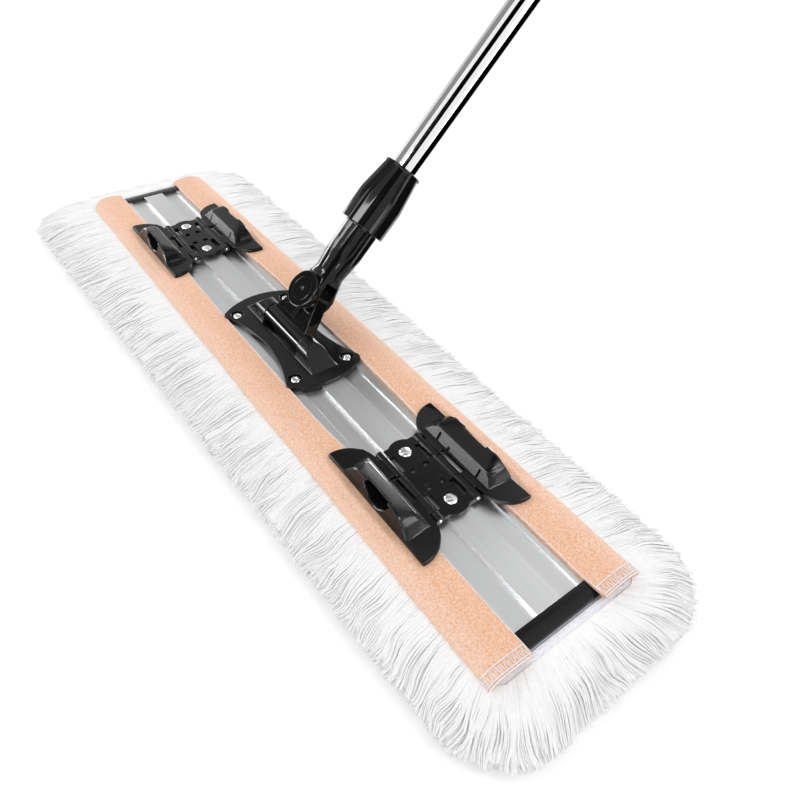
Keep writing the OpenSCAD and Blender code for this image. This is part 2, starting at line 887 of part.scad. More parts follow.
// Outline of the swivel base from above: round ends, cut corners and a hollow waist
module base_outline() {
  waist_y = base_waist / 2 + base_waist_r;
  offset(r = base_corner_r)
    offset(delta = -base_corner_r)
      difference() {
        both_x()
          intersection() {
            translate([base_l / 2 - base_end_r, 0])
              circle(base_end_r);
            translate([0, -base_w / 2])
              square([base_l, base_w]);
          }
        both_y()
          translate([0, waist_y])
            circle(base_waist_r, $fn = 160);
      }
}

// Section of a bearing block: an arch over the axle on a wider foot
module block_section() {
  translate([0, axle_z])
    circle(block_r);
  polygon([
    [-block_w / 2, base_top - cut],
    [-block_w / 2, base_top],
    [-block_r, axle_z],
    [block_r, axle_z],
    [block_w / 2, base_top],
    [block_w / 2, base_top - cut]
  ]);
}

// Swivel base: a hollow-waisted foot across the rib, with two bearing blocks for the axle
module swivel_base() {
  block_end = block_x + block_l;
  block_top = axle_z + block_r;
  color(black_plastic)
    difference() {
      union() {
        translate([0, 0, channel_z])
          linear_extrude(base_h)
            base_outline();
        both_x()
          intersection() {
            along_x(2 * block_end)
              block_section();
            along_y(2 * block_w)
              polygon([
                [block_x, base_top - cut],
                [block_end, base_top - cut],
                [block_end, base_top],
                [block_x + block_top_l, block_top],
                [block_x, block_top]
              ]);
          }
      }
      block([-base_l, -rib_w / 2 - fit_gap, deck_z], [base_l, rib_w / 2 + fit_gap, rib_z + fit_gap]);
      both_y()
        block([-base_l, band_y - fit_gap, deck_z], [base_l, base_w, band_z + fit_gap]);
      block([-block_x, -pocket_w / 2, rib_z], [block_x, pocket_w / 2, base_top + cut]);
      translate([0, 0, axle_z])
        rod_x(axle_r + pin_gap, -axle_l / 2 - fit_gap, axle_l + 2 * fit_gap);
      for (x = [-screw_x, screw_x], y = [-screw_y, screw_y])
        translate([x, y, 0]) {
          translate([0, 0, deck_z])
            cylinder(d = screw_d + 2 * fit_gap, h = base_h + deck_t);
          translate([0, 0, screw_seat])
            cylinder(d = counterbore_d, h = screw_sink + cut);
        }
    }
}

// Four pan-head screws through the swivel base into the plate
module base_screws() {
  slot_w = screw_d / 4;
  slot_d = screw_head_h / 2;
  color(bright_steel)
    for (x = [-screw_x, screw_x], y = [-screw_y, screw_y])
      translate([x, y, 0])
        difference() {
          union() {
            translate([0, 0, deck_z])
              cylinder(d = screw_d, h = screw_seat - deck_z + slot_d);
            translate([0, 0, screw_seat])
              cylinder(d1 = screw_head_d, d2 = screw_d, h = screw_head_h);
          }
          for (turn = [0, 90])
            translate([0, 0, screw_seat + slot_d + cut / 2])
              rotate([0, 0, turn])
                cube([screw_d, slot_w, cut + slot_d], center = true);
        }
}

// Steel axle through both bearing blocks
module axle_pin() {
  color(bright_steel)
    translate([0, 0, axle_z])
      rod_x(axle_r, -axle_l / 2, axle_l);
}

// Swivel link: a hub on the axle, a tapered web with hollow panels, and an eye for the swing pin
module swivel_link() {
  foot_x = hub_l / 2;
  panel_foot_share = 0.8;
  panel_top_share = 0.5;
  web_clear = ear_r + body_gap;
  panel_low = hub_r + panel_d;
  panel_high = link_l - web_clear;
  color(black_plastic)
    on_pole()
      difference() {
        union() {
          rod_x(hub_r, -foot_x, hub_l);
          along_y(web_t)
            polygon([
              [-foot_x, 0],
              [-eye_r, link_l],
              [eye_r, link_l],
              [foot_x, 0]
            ]);
          translate([0, 0, link_l])
            rod_y(eye_r, -eye_t / 2, eye_t);
        }
        both_x()
          both_y()
            translate([0, web_t / 2 - panel_d / 2 + cut / 2, 0])
              along_y(panel_d + cut)
                polygon([
                  [panel_d, panel_low],
                  [foot_x * panel_foot_share, panel_low],
                  [foot_x * panel_top_share, panel_high],
                  [panel_d, panel_high]
                ]);
        rod_x(axle_r + run_gap, -foot_x - cut, hub_l + 2 * cut);
        translate([0, 0, link_l])
          rod_y(swing_r + run_gap, -eye_t, 2 * eye_t);
      }
}

// Steel pin through the fork's ears and the link's eye
module swing_pin() {
  color(bright_steel)
    on_pole()
      translate([0, 0, link_l])
        rod_y(swing_r, -swing_l / 2, swing_l);
}

// Round cap let into one ear, over the end of the swing pin: the front one has a wide head
module pivot_cap(face) {
  dimple_d = swing_d / 3;
  head = face == front ? cap_head_t : 0;
  cap_out = ear_out + fit_gap;
  color(black_plastic)
    on_pole()
      translate([0, 0, link_l])
        at_side(face)
          difference() {
            union() {
              rod_y(cap_seat_d / 2, ear_out - cap_seat_t, cap_seat_t + fit_gap);
              if (head > 0)
                rod_y(cap_head_r, cap_out, head);
            }
            rod_y(dimple_d / 2, cap_out + head - cap_seat_t / 2, cap_seat_t);
          }
}

// Cutter for a flute, widest at its top, that runs out to a point at its foot
module flute_cutter() {
  arc_r = (flute_l * flute_l + flute_d * flute_d) / (2 * flute_d);
  mirror([0, 0, 1])
    rotate_extrude()
      intersection() {
        translate([flute_r - arc_r, 0])
          circle(arc_r, $fn = 720);
        square([flute_r, flute_l]);
      }
}

// Handle socket: a fork on the swing pin, a neck, a fluted socket and a slit collet for the tube
module handle_socket() {
  arm_z = link_l + slot_top;
  neck_z = link_l + neck_top;
  shoulder = link_l + collar_z;
  cheek_top = link_l + cap_head_r + body_gap;
  fork_r = norm([ear_r, ear_out]) + body_gap;
  color(black_plastic)
    on_pole()
      difference() {
        union() {
          translate([0, 0, link_l])
            rod_y(ear_r, -fork_r, 2 * fork_r);
          difference() {
            rotate_extrude()
              polygon([
                [0, link_l],
                [fork_r, link_l],
                [neck_r, neck_z],
                [socket_r, link_l + socket_z],
                [socket_r, shoulder - body_gap],
                [thread_r, shoulder - body_gap],
                [thread_r, thread_end],
                [collet_r, socket_top],
                [0, socket_top]
              ]);
            both_x()
              block([ear_r, -fork_r, link_l - cut], [2 * fork_r, fork_r, neck_z]);
          }
        }
        both_y()
          block([-fork_r, ear_out, 0], [fork_r, 2 * fork_r, cheek_top]);
        block([-fork_r, -ear_in, 0], [fork_r, ear_in, arm_z]);
        translate([0, 0, tube_z])
          cylinder(r = pole_r + fit_gap, h = 2 * collar_l + socket_z);
        translate([0, 0, link_l])
          rod_y(swing_r + pin_gap, -2 * ear_out, 4 * ear_out);
        translate([0, 0, link_l])
          both_y()
            rod_y(cap_seat_d / 2 + fit_gap, ear_out - cap_seat_t - fit_gap, cap_seat_t + cut);
        for (i = [0 : flute_n - 1])
          rotate([0, 0, 360 * (i + 0.5) / flute_n + flute_turn])
            translate([socket_r + flute_r - flute_d, 0, shoulder])
              flute_cutter();
        for (i = [0 : collet_slit_n - 1])
          rotate([0, 0, 360 * i / collet_slit_n])
            block([0, -collet_slit / 2, thread_end], [socket_r, collet_slit / 2, socket_top + cut]);
      }
}

// Cutter for the hollows between the collar nut's ribs
module hollow_cutter(low) {
  rim_z = low + collar_l - collar_rim;
  difference() {
    rotate_extrude()
      polygon([
        [collar_d / 2 - grip_rib_h, low - cut],
        [collar_d, low - cut],
        [collar_d, rim_z],
        [collar_top_d / 2 - grip_rib_top_h, rim_z],
        [collar_d / 2 - grip_rib_h, low + collar_straight]
      ]);
    for (i = [0 : rib_n - 1])
      rotate([0, 0, 360 * i / rib_n + grip_rib_turn])
        block([0, -grip_rib_w / 2, low - 2 * cut], [2 * collar_d, grip_rib_w / 2, rim_z + cut]);
  }
}

// Collar nut: a nut with gripping ribs that closes the collet on the tube
module collar_nut() {
  low = link_l + collar_z;
  high = low + collar_l;
  bore_r = thread_r + body_gap;
  lip_r = pole_r + body_gap;
  color(black_plastic)
    on_pole()
      difference() {
        rotate_extrude()
          polygon([
            [0, low],
            [collar_d / 2, low],
            [collar_d / 2, low + collar_straight],
            [collar_top_d / 2, high],
            [0, high]
          ]);
        hollow_cutter(low);
        rotate_extrude()
          polygon([
            [0, low - cut],
            [bore_r, low - cut],
            [bore_r, thread_end + body_gap],
            [collet_r + body_gap, socket_top + body_gap],
            [lip_r, socket_top + body_gap],
            [lip_r, high + cut],
            [0, high + cut]
          ]);
      }
}

// Lower steel tube, seated in the socket
module lower_tube() {
  color(bright_steel)
    on_pole()
      translate([0, 0, tube_z])
        difference() {
          cylinder(r = pole_r, h = lower_l);
          translate([0, 0, -cut])
            cylinder(r = pole_r - pole_t, h = lower_l + 2 * cut);
        }
}

// Lock body: a sleeve on the lower tube with a collet round the upper tube
module pole_lock_body() {
  seat_r = pole_r + fit_gap;
  jaw_r = upper_r + body_gap;
  low = tube_top - lock_seat;
  color(black_plastic)
    on_pole()
      difference() {
        rotate_extrude()
          polygon([
            [seat_r, low],
            [seat_r + lock_wall, low],
            [seat_r + lock_wall, tube_top],
            [jaw_r + lock_wall, lock_top_z],
            [jaw_r, lock_top_z],
            [jaw_r, tube_top],
            [seat_r, tube_top]
          ]);
        for (i = [0 : collet_slit_n - 1])
          rotate([0, 0, 360 * i / collet_slit_n])
            block([0, -collet_slit / 2, tube_top + cut], [lock_d, collet_slit / 2, lock_top_z + cut]);
      }
}

// Lock nut: a grooved ring that closes the lock's collet on the upper tube
module pole_lock_nut() {
  bore_r = pole_r + fit_gap + lock_wall + body_gap;
  jaw_room_r = upper_r + lock_wall + 2 * body_gap;
  lip_r = upper_r + body_gap;
  low = tube_top - lock_seat + lock_lip;
  high = lock_top_z + lock_lip;
  nut_r = lock_d / 2;
  edge = lock_groove_d / 2;
  color(black_plastic)
    on_pole()
      difference() {
        rotate_extrude()
          polygon([
            [bore_r, low],
            [nut_r, low],
            [nut_r, high - edge],
            [nut_r - edge, high],
            [lip_r, high],
            [lip_r, lock_top_z + body_gap],
            [jaw_room_r, lock_top_z + body_gap],
            [bore_r, tube_top]
          ]);
        for (i = [0 : lock_groove_n - 1])
          rotate([0, 0, 360 * i / lock_groove_n])
            translate([nut_r + edge / 2, 0, low - cut])
              cylinder(d = lock_groove_d, h = high);
      }
}

// Upper steel tube, which slides in the lower tube
module upper_tube() {
  color(bright_steel)
    on_pole()
      translate([0, 0, upper_z])
        difference() {
          cylinder(r = upper_r, h = upper_top - upper_z);
          translate([0, 0, -cut])
            cylinder(r = upper_r - pole_t, h = upper_top - upper_z + 2 * cut);
        }
}

// Plastic bush plugged into the upper tube's lower end, guiding it in the lower tube
module slide_bush() {
  plug_r = upper_r - pole_t - run_gap;
  guide_r = pole_r - pole_t - run_gap;
  plug_wall = 1.5;
  color(black_plastic)
    on_pole()
      rotate_extrude()
        polygon([
          [plug_r - plug_wall, upper_z - bush_l],
          [guide_r, upper_z - bush_l],
          [guide_r, upper_z],
          [plug_r, upper_z],
          [plug_r, upper_z + bush_l],
          [plug_r - plug_wall, upper_z + bush_l]
        ]);
}

// Grip: a grooved sleeve over the upper tube
module grip() {
  grip_r = grip_d / 2;
  round_end = grip_groove_d * 2;
  pitch = grip_l / (grip_groove_n + 1);
  color(black_plastic)
    on_pole()
      difference() {
        rotate_extrude()
          polygon([
            [upper_r + run_gap, grip_z],
            [grip_r - round_end, grip_z],
            [grip_r, grip_z + round_end],
            [grip_r, grip_top - round_end],
            [grip_r - round_end, grip_top],
            [upper_r + run_gap, grip_top]
          ]);
        for (i = [1 : grip_groove_n])
          translate([0, 0, grip_z + i * pitch])
            rotate_extrude()
              translate([grip_r, 0])
                circle(grip_groove_d, $fn = 24);
      }
}

// Hanging cap: a plug in the upper tube with an eye to hang the mop by
module hang_cap() {
  plug_r = upper_r - pole_t - run_gap;
  plug_l = 2 * hang_l;
  disc_t = grip_wall_end;
  eye_top = grip_top + hang_l;
  eye_r = (grip_d - grip_groove_d) / 2;
  hole_z = eye_top - eye_r;
  color(black_plastic)
    on_pole()
      difference() {
        union() {
          translate([0, 0, upper_top - plug_l])
            cylinder(r = plug_r, h = plug_l);
          translate([0, 0, upper_top])
            cylinder(r = upper_r, h = grip_top - upper_top);
          translate([0, 0, grip_top])
            cylinder(r = eye_r, h = disc_t);
          intersection() {
            translate([0, 0, hole_z])
              rod_x(eye_r, -hang_t / 2, hang_t);
            block([-hang_t, -grip_d, grip_top], [hang_t, grip_d, eye_top + cut]);
          }
          block([-hang_t / 2, -eye_r, grip_top], [hang_t / 2, eye_r, hole_z]);
        }
        translate([0, 0, hole_z])
          rod_x(hang_hole_d / 2, -hang_t, 2 * hang_t);
      }
}

pad_yarn();
pad_backing();
flap(front);  // front_flap
flap(rear);  // rear_flap
end_binding(near);  // near_end_binding
end_binding(far);  // far_end_binding
frame_plate();
end_cap(near);  // near_end_cap
end_cap(far);  // far_end_cap
clamp_base(near);  // near_clamp_base
clamp_base(far);  // far_clamp_base
clamp_rivets(near);  // near_clamp_rivets
clamp_rivets(far);  // far_clamp_rivets
hinge_pins(near);  // near_hinge_pins
hinge_pins(far);  // far_hinge_pins
clamp_spring(near, front);  // near_front_spring
clamp_spring(near, rear);  // near_rear_spring
clamp_spring(far, front);  // far_front_spring
clamp_spring(far, rear);  // far_rear_spring
wing(near, front);  // near_front_wing
wing(near, rear);  // near_rear_wing
wing(far, front);  // far_front_wing
wing(far, rear);  // far_rear_wing
swivel_base();
base_screws();
axle_pin();
swivel_link();
swing_pin();
pivot_cap(front);  // front_pivot_cap
pivot_cap(rear);  // rear_pivot_cap
handle_socket();
collar_nut();
lower_tube();
pole_lock_body();
pole_lock_nut();
upper_tube();
slide_bush();
grip();
hang_cap();
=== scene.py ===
import math
import random

import bmesh
import bpy
from mathutils import Matrix, Vector, noise
from mathutils.bvhtree import BVHTree


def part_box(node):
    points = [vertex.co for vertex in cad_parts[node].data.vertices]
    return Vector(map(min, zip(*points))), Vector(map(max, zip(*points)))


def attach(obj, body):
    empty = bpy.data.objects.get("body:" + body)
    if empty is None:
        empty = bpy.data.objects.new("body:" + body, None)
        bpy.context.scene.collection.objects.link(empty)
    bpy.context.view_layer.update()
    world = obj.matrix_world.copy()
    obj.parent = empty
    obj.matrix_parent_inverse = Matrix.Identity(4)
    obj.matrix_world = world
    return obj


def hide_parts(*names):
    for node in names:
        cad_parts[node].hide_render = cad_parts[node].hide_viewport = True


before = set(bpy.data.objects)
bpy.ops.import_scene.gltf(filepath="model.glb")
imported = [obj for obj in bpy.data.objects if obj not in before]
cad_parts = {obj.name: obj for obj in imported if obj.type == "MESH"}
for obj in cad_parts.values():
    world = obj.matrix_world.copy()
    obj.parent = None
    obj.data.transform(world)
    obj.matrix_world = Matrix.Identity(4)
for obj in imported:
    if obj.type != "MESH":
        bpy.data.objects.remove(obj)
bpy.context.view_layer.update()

# Camera: it stands over the near end of the mop, a little to its front, and looks down along it.
# Its place, turn and lens follow straight lines of the plate, the clamps and the pole.
MM = 0.001
azimuth, elevation, roll = (math.radians(x) for x in (51.827, 43.843, -2.502))
toward = Vector((
    math.sin(azimuth) * math.cos(elevation),
    -math.cos(azimuth) * math.cos(elevation),
    math.sin(elevation),
))
level = Vector((math.cos(azimuth), math.sin(azimuth), 0))
upright = toward.cross(level)
across = math.cos(roll) * level - math.sin(roll) * upright
upward = math.sin(roll) * level + math.cos(roll) * upright
camera_data = bpy.data.cameras.new("camera")
camera_data.sensor_width = 36
camera_data.lens = 29.77
camera_data.clip_start = 0.01
camera = bpy.data.objects.new("camera", camera_data)
camera.matrix_world = Matrix((across, upward, toward)).transposed().to_4x4()
camera.location = Vector((385.6, -187.5, 366.0)) * MM
bpy.context.scene.collection.objects.link(camera)
bpy.context.scene.camera = camera

# Backing of the pad: a woven cotton-blend cloth under the plate, which the yarn is tufted through.
# It is cut to the plate's width and reaches a little past the end caps.
backing_low, backing_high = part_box("pad_backing")


def new_finish(name, colour, rough, metal=0.0):
    """A material with its plain values, its node tree and its shader."""
    finish = bpy.data.materials.new(name)
    finish.use_nodes = True
    shader = finish.node_tree.nodes["Principled BSDF"]
    shader.inputs["Base Color"].default_value = (*colour, 1)
    shader.inputs["Roughness"].default_value = rough
    shader.inputs["Metallic"].default_value = metal
    return finish, finish.node_tree, shader


def speckle(tree, scale, detail=3.0, stretch=(1, 1, 1)):
    """A noise over the piece, finer where stretch is larger."""
    place = tree.nodes.new("ShaderNodeTexCoord")
    turn = tree.nodes.new("ShaderNodeMapping")
    turn.inputs["Scale"].default_value = stretch
    field = tree.nodes.new("ShaderNodeTexNoise")
    field.inputs["Scale"].default_value = scale
    field.inputs["Detail"].default_value = detail
    tree.links.new(place.outputs["Object"], turn.inputs["Vector"])
    tree.links.new(turn.outputs["Vector"], field.inputs["Vector"])
    return field.outputs["Fac"]


def tint(tree, shader, field, dark, light, span=(0.3, 0.7)):
    """Colour that runs from dark to light over the field."""
    ramp = tree.nodes.new("ShaderNodeValToRGB")
    for step, at, colour in zip(ramp.color_ramp.elements, span, (dark, light)):
        step.position = at
        step.color = (*colour, 1)
    tree.links.new(field, ramp.inputs["Fac"])
    tree.links.new(ramp.outputs["Color"], shader.inputs["Base Color"])


def polish(tree, shader, field, smooth, rough):
    """Roughness that runs from smooth to rough over the field."""
    span = tree.nodes.new("ShaderNodeMapRange")
    span.inputs["To Min"].default_value = smooth
    span.inputs["To Max"].default_value = rough
    tree.links.new(field, span.inputs["Value"])
    tree.links.new(span.outputs["Result"], shader.inputs["Roughness"])


def emboss(tree, shader, field, depth, strength=1.0):
    """Fine relief of that depth in metres."""
    bump = tree.nodes.new("ShaderNodeBump")
    bump.inputs["Distance"].default_value = depth
    bump.inputs["Strength"].default_value = strength
    tree.links.new(field, bump.inputs["Height"])
    tree.links.new(bump.outputs["Normal"], shader.inputs["Normal"])


def make_piece(bm, name, finish):
    """The finished bmesh as a smooth-shaded object of that name and finish."""
    mesh = bpy.data.meshes.new(name)
    for face in bm.faces:
        face.smooth = True
    bm.to_mesh(mesh)
    bm.free()
    mesh.materials.append(finish)
    piece = bpy.data.objects.new(name, mesh)
    bpy.context.scene.collection.objects.link(piece)
    return piece


def face_up(bm):
    """Turns an open sheet so that its outer side is the upper one."""
    bm.normal_update()
    if sum(f.normal.z * f.calc_area() for f in bm.faces) < 0:
        bmesh.ops.reverse_faces(bm, faces=bm.faces)


def thicken(piece, thickness):
    """Cloth thickness, added on the inner side."""
    wall = piece.modifiers.new("thickness", "SOLIDIFY")
    wall.thickness = thickness
    wall.offset = -1
    return piece


tape_finish, tree, shader = new_finish("white_tape", (0.83, 0.83, 0.88), 0.8)
weave = speckle(tree, 900, 2, (1, 0.35, 1))
tint(tree, shader, weave, (0.74, 0.74, 0.8), (0.88, 0.88, 0.92))
emboss(tree, shader, weave, 0.0002, 0.6)
shader.inputs["Sheen Weight"].default_value = 0.15

bm = bmesh.new()
bmesh.ops.create_grid(bm, x_segments=80, y_segments=16, size=0.5)
for v in bm.verts:
    v.co.x *= backing_high.x - backing_low.x
    v.co.y *= backing_high.y - backing_low.y
    v.co.z = backing_high.z - 0.25 * MM
backing = thicken(make_piece(bm, "backing_cloth", tape_finish), 1.5 * MM)
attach(backing, "head")
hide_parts("pad_backing")

# Yarn of the pad: thousands of cut ends of soft white cotton and polyester yarn, tufted through the
# backing. Those at its edge fall outwards as a fringe, in uneven locks, and the rest stand as pile.
random.seed(7)
yarn_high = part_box("pad_yarn")[1]
pile_top = backing_low.z
yarn_finish, tree, shader = new_finish("white_yarn", (0.86, 0.86, 0.87), 0.9)
lint = speckle(tree, 420, 2)
tint(tree, shader, lint, (0.94, 0.94, 0.945), (0.97, 0.97, 0.975))
shader.inputs["Sheen Weight"].default_value = 0.25
shader.inputs["Specular IOR Level"].default_value = 0.05


def strand_piece(name, strands, finish, sides=0):
    """Many strands, each a list of (point, radius), as one piece of fine tubes."""
    curve = bpy.data.curves.new(name, "CURVE")
    curve.dimensions = "3D"
    curve.bevel_depth = 1.0
    curve.bevel_resolution = sides
    curve.use_fill_caps = True
    for strand in strands:
        line = curve.splines.new("POLY")
        line.points.add(len(strand) - 1)
        for knot, (point, radius) in zip(line.points, strand):
            knot.co = (*point, 1)
            knot.radius = radius
        line.use_smooth = True
    curve.materials.append(finish)
    piece = bpy.data.objects.new(name, curve)
    bpy.context.scene.collection.objects.link(piece)
    return piece


def ring_point(way, half_x, half_y, corner):
    """A point and its outward direction on a rounded rectangle, and the side it is on.

    way runs from 0 to the outline's length, anticlockwise from the start of the near end."""
    end, side, arc = 2 * (half_y - corner), 2 * (half_x - corner), math.pi / 2 * corner
    stretches = ((end, "near"), (side, "rear"), (end, "far"), (side, "front"))
    for turn, (first, name) in enumerate(stretches):
        angle = turn * math.pi / 2
        ahead = Vector((-math.sin(angle), math.cos(angle), 0))
        out = Vector((math.cos(angle), math.sin(angle), 0))
        reach = half_x if turn % 2 == 0 else half_y
        if way <= first:
            return out * reach + ahead * (way - first / 2), out, name
        way -= first
        if way <= arc:
            bend = way / corner
            spoke = out * math.cos(bend) + ahead * math.sin(bend)
            hub = out * (reach - corner) + ahead * (first / 2)
            return hub + spoke * corner, spoke, "far" if turn in (1, 2) else "near"
        way -= arc
    return ring_point(0, half_x, half_y, corner)


def ease(low, high, x):
    """A smooth step from 0 at low to 1 at high."""
    t = min(1, max(0, (x - low) / (high - low)))
    return t * t * (3 - 2 * t)


tip_x, tip_y, tip_corner = yarn_high.x - 3 * MM, yarn_high.y - 3 * MM, 50 * MM
root_x, root_y, root_corner = 308.5 * MM, 56.5 * MM, 9 * MM
tip_way = 4 * (tip_x + tip_y - 2 * tip_corner) + 2 * math.pi * tip_corner
root_way = 4 * (root_x + root_y - 2 * root_corner) + 2 * math.pi * root_corner
near_reach, far_reach, front_reach, rear_reach = 347 * MM, 354 * MM, 105 * MM, 111 * MM


def root_of(way):
    """The point on the roots' outline that lies inward of a point on the tips' outline."""
    end, side, arc = 2 * (tip_y - tip_corner), 2 * (tip_x - tip_corner), math.pi / 2 * tip_corner
    r_end, r_side = 2 * (root_y - root_corner), 2 * (root_x - root_corner)
    r_arc = math.pi / 2 * root_corner
    done, fan_end, fan_side = 0.16 * r_end, 0.16 * r_end, 10 * MM
    corner = r_arc + fan_end + fan_side
    ends, sides = (end, r_end - 2 * fan_end), (side, r_side - 2 * fan_side)
    for outer, inner in (ends, (arc, corner), sides, (arc, corner)) * 2:
        if way <= outer:
            return (done + inner * way / outer) % root_way
        way -= outer
        done += inner
    return done % root_way


def fall(t, tip_z):
    """Height of a layer of the fringe, from the roots at 0 to the tips at 1."""
    root_z = pile_top + 3.6 * MM
    return root_z + (tip_z - root_z) * t ** 1.8


def tip_at(way):
    """Where the fringe ends: it is combed a little towards the rear and the far end."""
    tip, _, side = ring_point(way % tip_way, tip_x, tip_y, tip_corner)
    if tip.y < 0:
        tip.y *= (front_reach - 0.045 * tip.x) / tip_y
    else:
        tip.y *= (rear_reach - 0.015 * tip.x) / tip_y
    tip.x *= (near_reach if tip.x > 0 else far_reach) / tip_x
    return tip, side


def ruffle(point, scale, seed):
    """A smooth unevenness over the pad, the same for neighbours, from about -1 to 1."""
    return noise.noise(Vector((point.x / scale, point.y / scale, seed)))


heart_rows, heart_low = 14, 5.5 * MM
bm = bmesh.new()
bmesh.ops.create_grid(bm, x_segments=480, y_segments=heart_rows, size=0.5)
for v in bm.verts:
    way, t = (v.co.x + 0.5) * tip_way, (v.co.y + 0.5) * heart_rows
    tip, _ = tip_at(way)
    root, _, _ = ring_point(root_of(way), root_x, root_y, root_corner)
    if t < heart_rows - 0.5:
        t *= 0.93 / (heart_rows - 1)
        flat = root.lerp(tip, t * (1 + 0.03 * ruffle(tip, 10 * MM, 3)))
        under = pile_top - 0.4 * MM
        swell = fall(t, 11 * MM) - (1.3 - 0.7 * ruffle(flat, 7 * MM, 9)) * MM
        v.co = Vector((flat.x, flat.y, under + (swell - under) * ease(0.06, 0.17, t)))
    else:
        flat = root.lerp(tip, 0.8)
        v.co = Vector((flat.x, flat.y, heart_low))
bmesh.ops.remove_doubles(bm, verts=bm.verts, dist=0.02 * MM)
bmesh.ops.holes_fill(bm, edges=[e for e in bm.edges if e.is_boundary], sides=0)
bmesh.ops.recalc_face_normals(bm, faces=bm.faces)
pile_finish, tree, shader = new_finish("cut_pile", (0.86, 0.86, 0.87), 0.95)
tuft = speckle(tree, 230, 3)
tint(tree, shader, tuft, (0.93, 0.93, 0.935), (0.97, 0.97, 0.975), (0.3, 0.5))
emboss(tree, shader, tuft, 0.004, 0.8)
shader.inputs["Specular IOR Level"].default_value = 0.05
pile_heart = make_piece(bm, "pile_heart", pile_finish)
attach(pile_heart, "head")
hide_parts("pad_yarn")

tip_heights = (11.5, 9.5, 6.5, 3.5, 1.2)
pitches = (0.95, 1.0, 1.3, 1.5, 1.5)
knots = 9
fringe = {"near": [], "rear": [], "far": [], "front": []}
for layer, tip_z in enumerate(tip_heights):
    strand_pitch = pitches[layer] * MM
    at = random.uniform(0, strand_pitch)
    while at < tip_way:
        root, _, _ = ring_point(root_of(at), root_x, root_y, root_corner)
        tip, side = tip_at(at)
        reach = 0.975 + 0.06 * ruffle(tip, 7 * MM, 1) + random.gauss(0, 0.018) - 0.018 * layer
        lean = 6 * MM * ruffle(tip, 42 * MM, 2) + 5 * MM * ruffle(tip, 10 * MM, 4 + 0.25 * layer)
        lean += random.gauss(0, 1.1) * MM
        lift = random.gauss(0, 0.3) * MM
        own_z = (tip_z + 2 * ruffle(tip, 15 * MM, 8) + random.gauss(0, 0.8)) * MM
        thick = random.choice((0.55, 0.65, 0.75, 0.9)) * MM
        strand = []
        for k in range(knots):
            t = k / (knots - 1)
            wave = ruffle(tip, 14 * MM, 20 + 2.6 * t + 0.25 * layer)
            swell = 2 * MM * ruffle(tip, 9 * MM, 40 + 1.6 * t + 0.3 * layer) + lift
            aim = at + lean * t ** 1.4 + 7 * MM * wave * ease(0, 0.4, t)
            flat = root.lerp(tip_at(aim)[0], t * reach)
            height = fall(t, own_z) + swell * math.sin(math.pi * (0.1 + 0.9 * t))
            height -= layer * 0.9 * MM * (1 - t)
            strand.append((Vector((flat.x, flat.y, max(0.7 * MM, height))), thick * (1 - 0.4 * t)))
        fringe[side].append(strand)
        at += strand_pitch * random.uniform(0.75, 1.25)

for side, strands in fringe.items():
    lay = strand_piece(f"{side}_fringe", strands, yarn_finish)
    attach(lay, "head")

tufts = []
tuft_pitch, tuft_top, tuft_belly = 5.2 * MM, 8 * MM, 4.5 * MM
for i in range(-61, 62):
    for j in range(-16, 17):
        foot = Vector((
            (i + random.uniform(-0.4, 0.4)) * tuft_pitch,
            (j + random.uniform(-0.4, 0.4)) * tuft_pitch,
            0,
        ))
        lean = Vector((random.gauss(0, 1.6), random.gauss(0, 1.6), 0)) * MM
        low = random.uniform(1.2, 2.2) * MM
        tufts.append([
            (foot + Vector((0, 0, tuft_top)), 1.6 * MM),
            (foot + 0.6 * lean + Vector((0, 0, tuft_belly)), 2.1 * MM),
            (foot + 1.2 * lean + Vector((0, 0, low)), 1.5 * MM),
        ])
pile = strand_piece("pile_tufts", tufts, yarn_finish)
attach(pile, "head")

# Binding tapes: a strip of white cotton tape folded over each short end of the backing.
# Two rows of lockstitch hold it, and it slopes from the end cap down to the fringe.
stitch_finish, tree, shader = new_finish("white_thread", (0.9, 0.9, 0.93), 0.6)
twist = speckle(tree, 1500, 1)
tint(tree, shader, twist, (0.8, 0.8, 0.84), (0.94, 0.94, 0.96))
tape_line = [
    (x * MM, z * MM)
    for x, z in ((0.35, 0.4), (0.2, 3.0), (0.6, 3.9), (3.0, 3.75), (6.6, 3.0), (8.2, 2.2), (8.35, 0.6))
]
stitch_step, stitch_pitch, thread_r = 1.05 * MM, 4.6 * MM, 0.34 * MM


def along(line, share):
    """The point at a share of the way along a line of points, by length."""
    lengths = [math.dist(p, q) for p, q in zip(line, line[1:])]
    way = share * sum(lengths)
    for p, q, length in zip(line, line[1:], lengths):
        if way <= length:
            return tuple(a + (b - a) * way / length for a, b in zip(p, q))
        way -= length
    return line[-1]


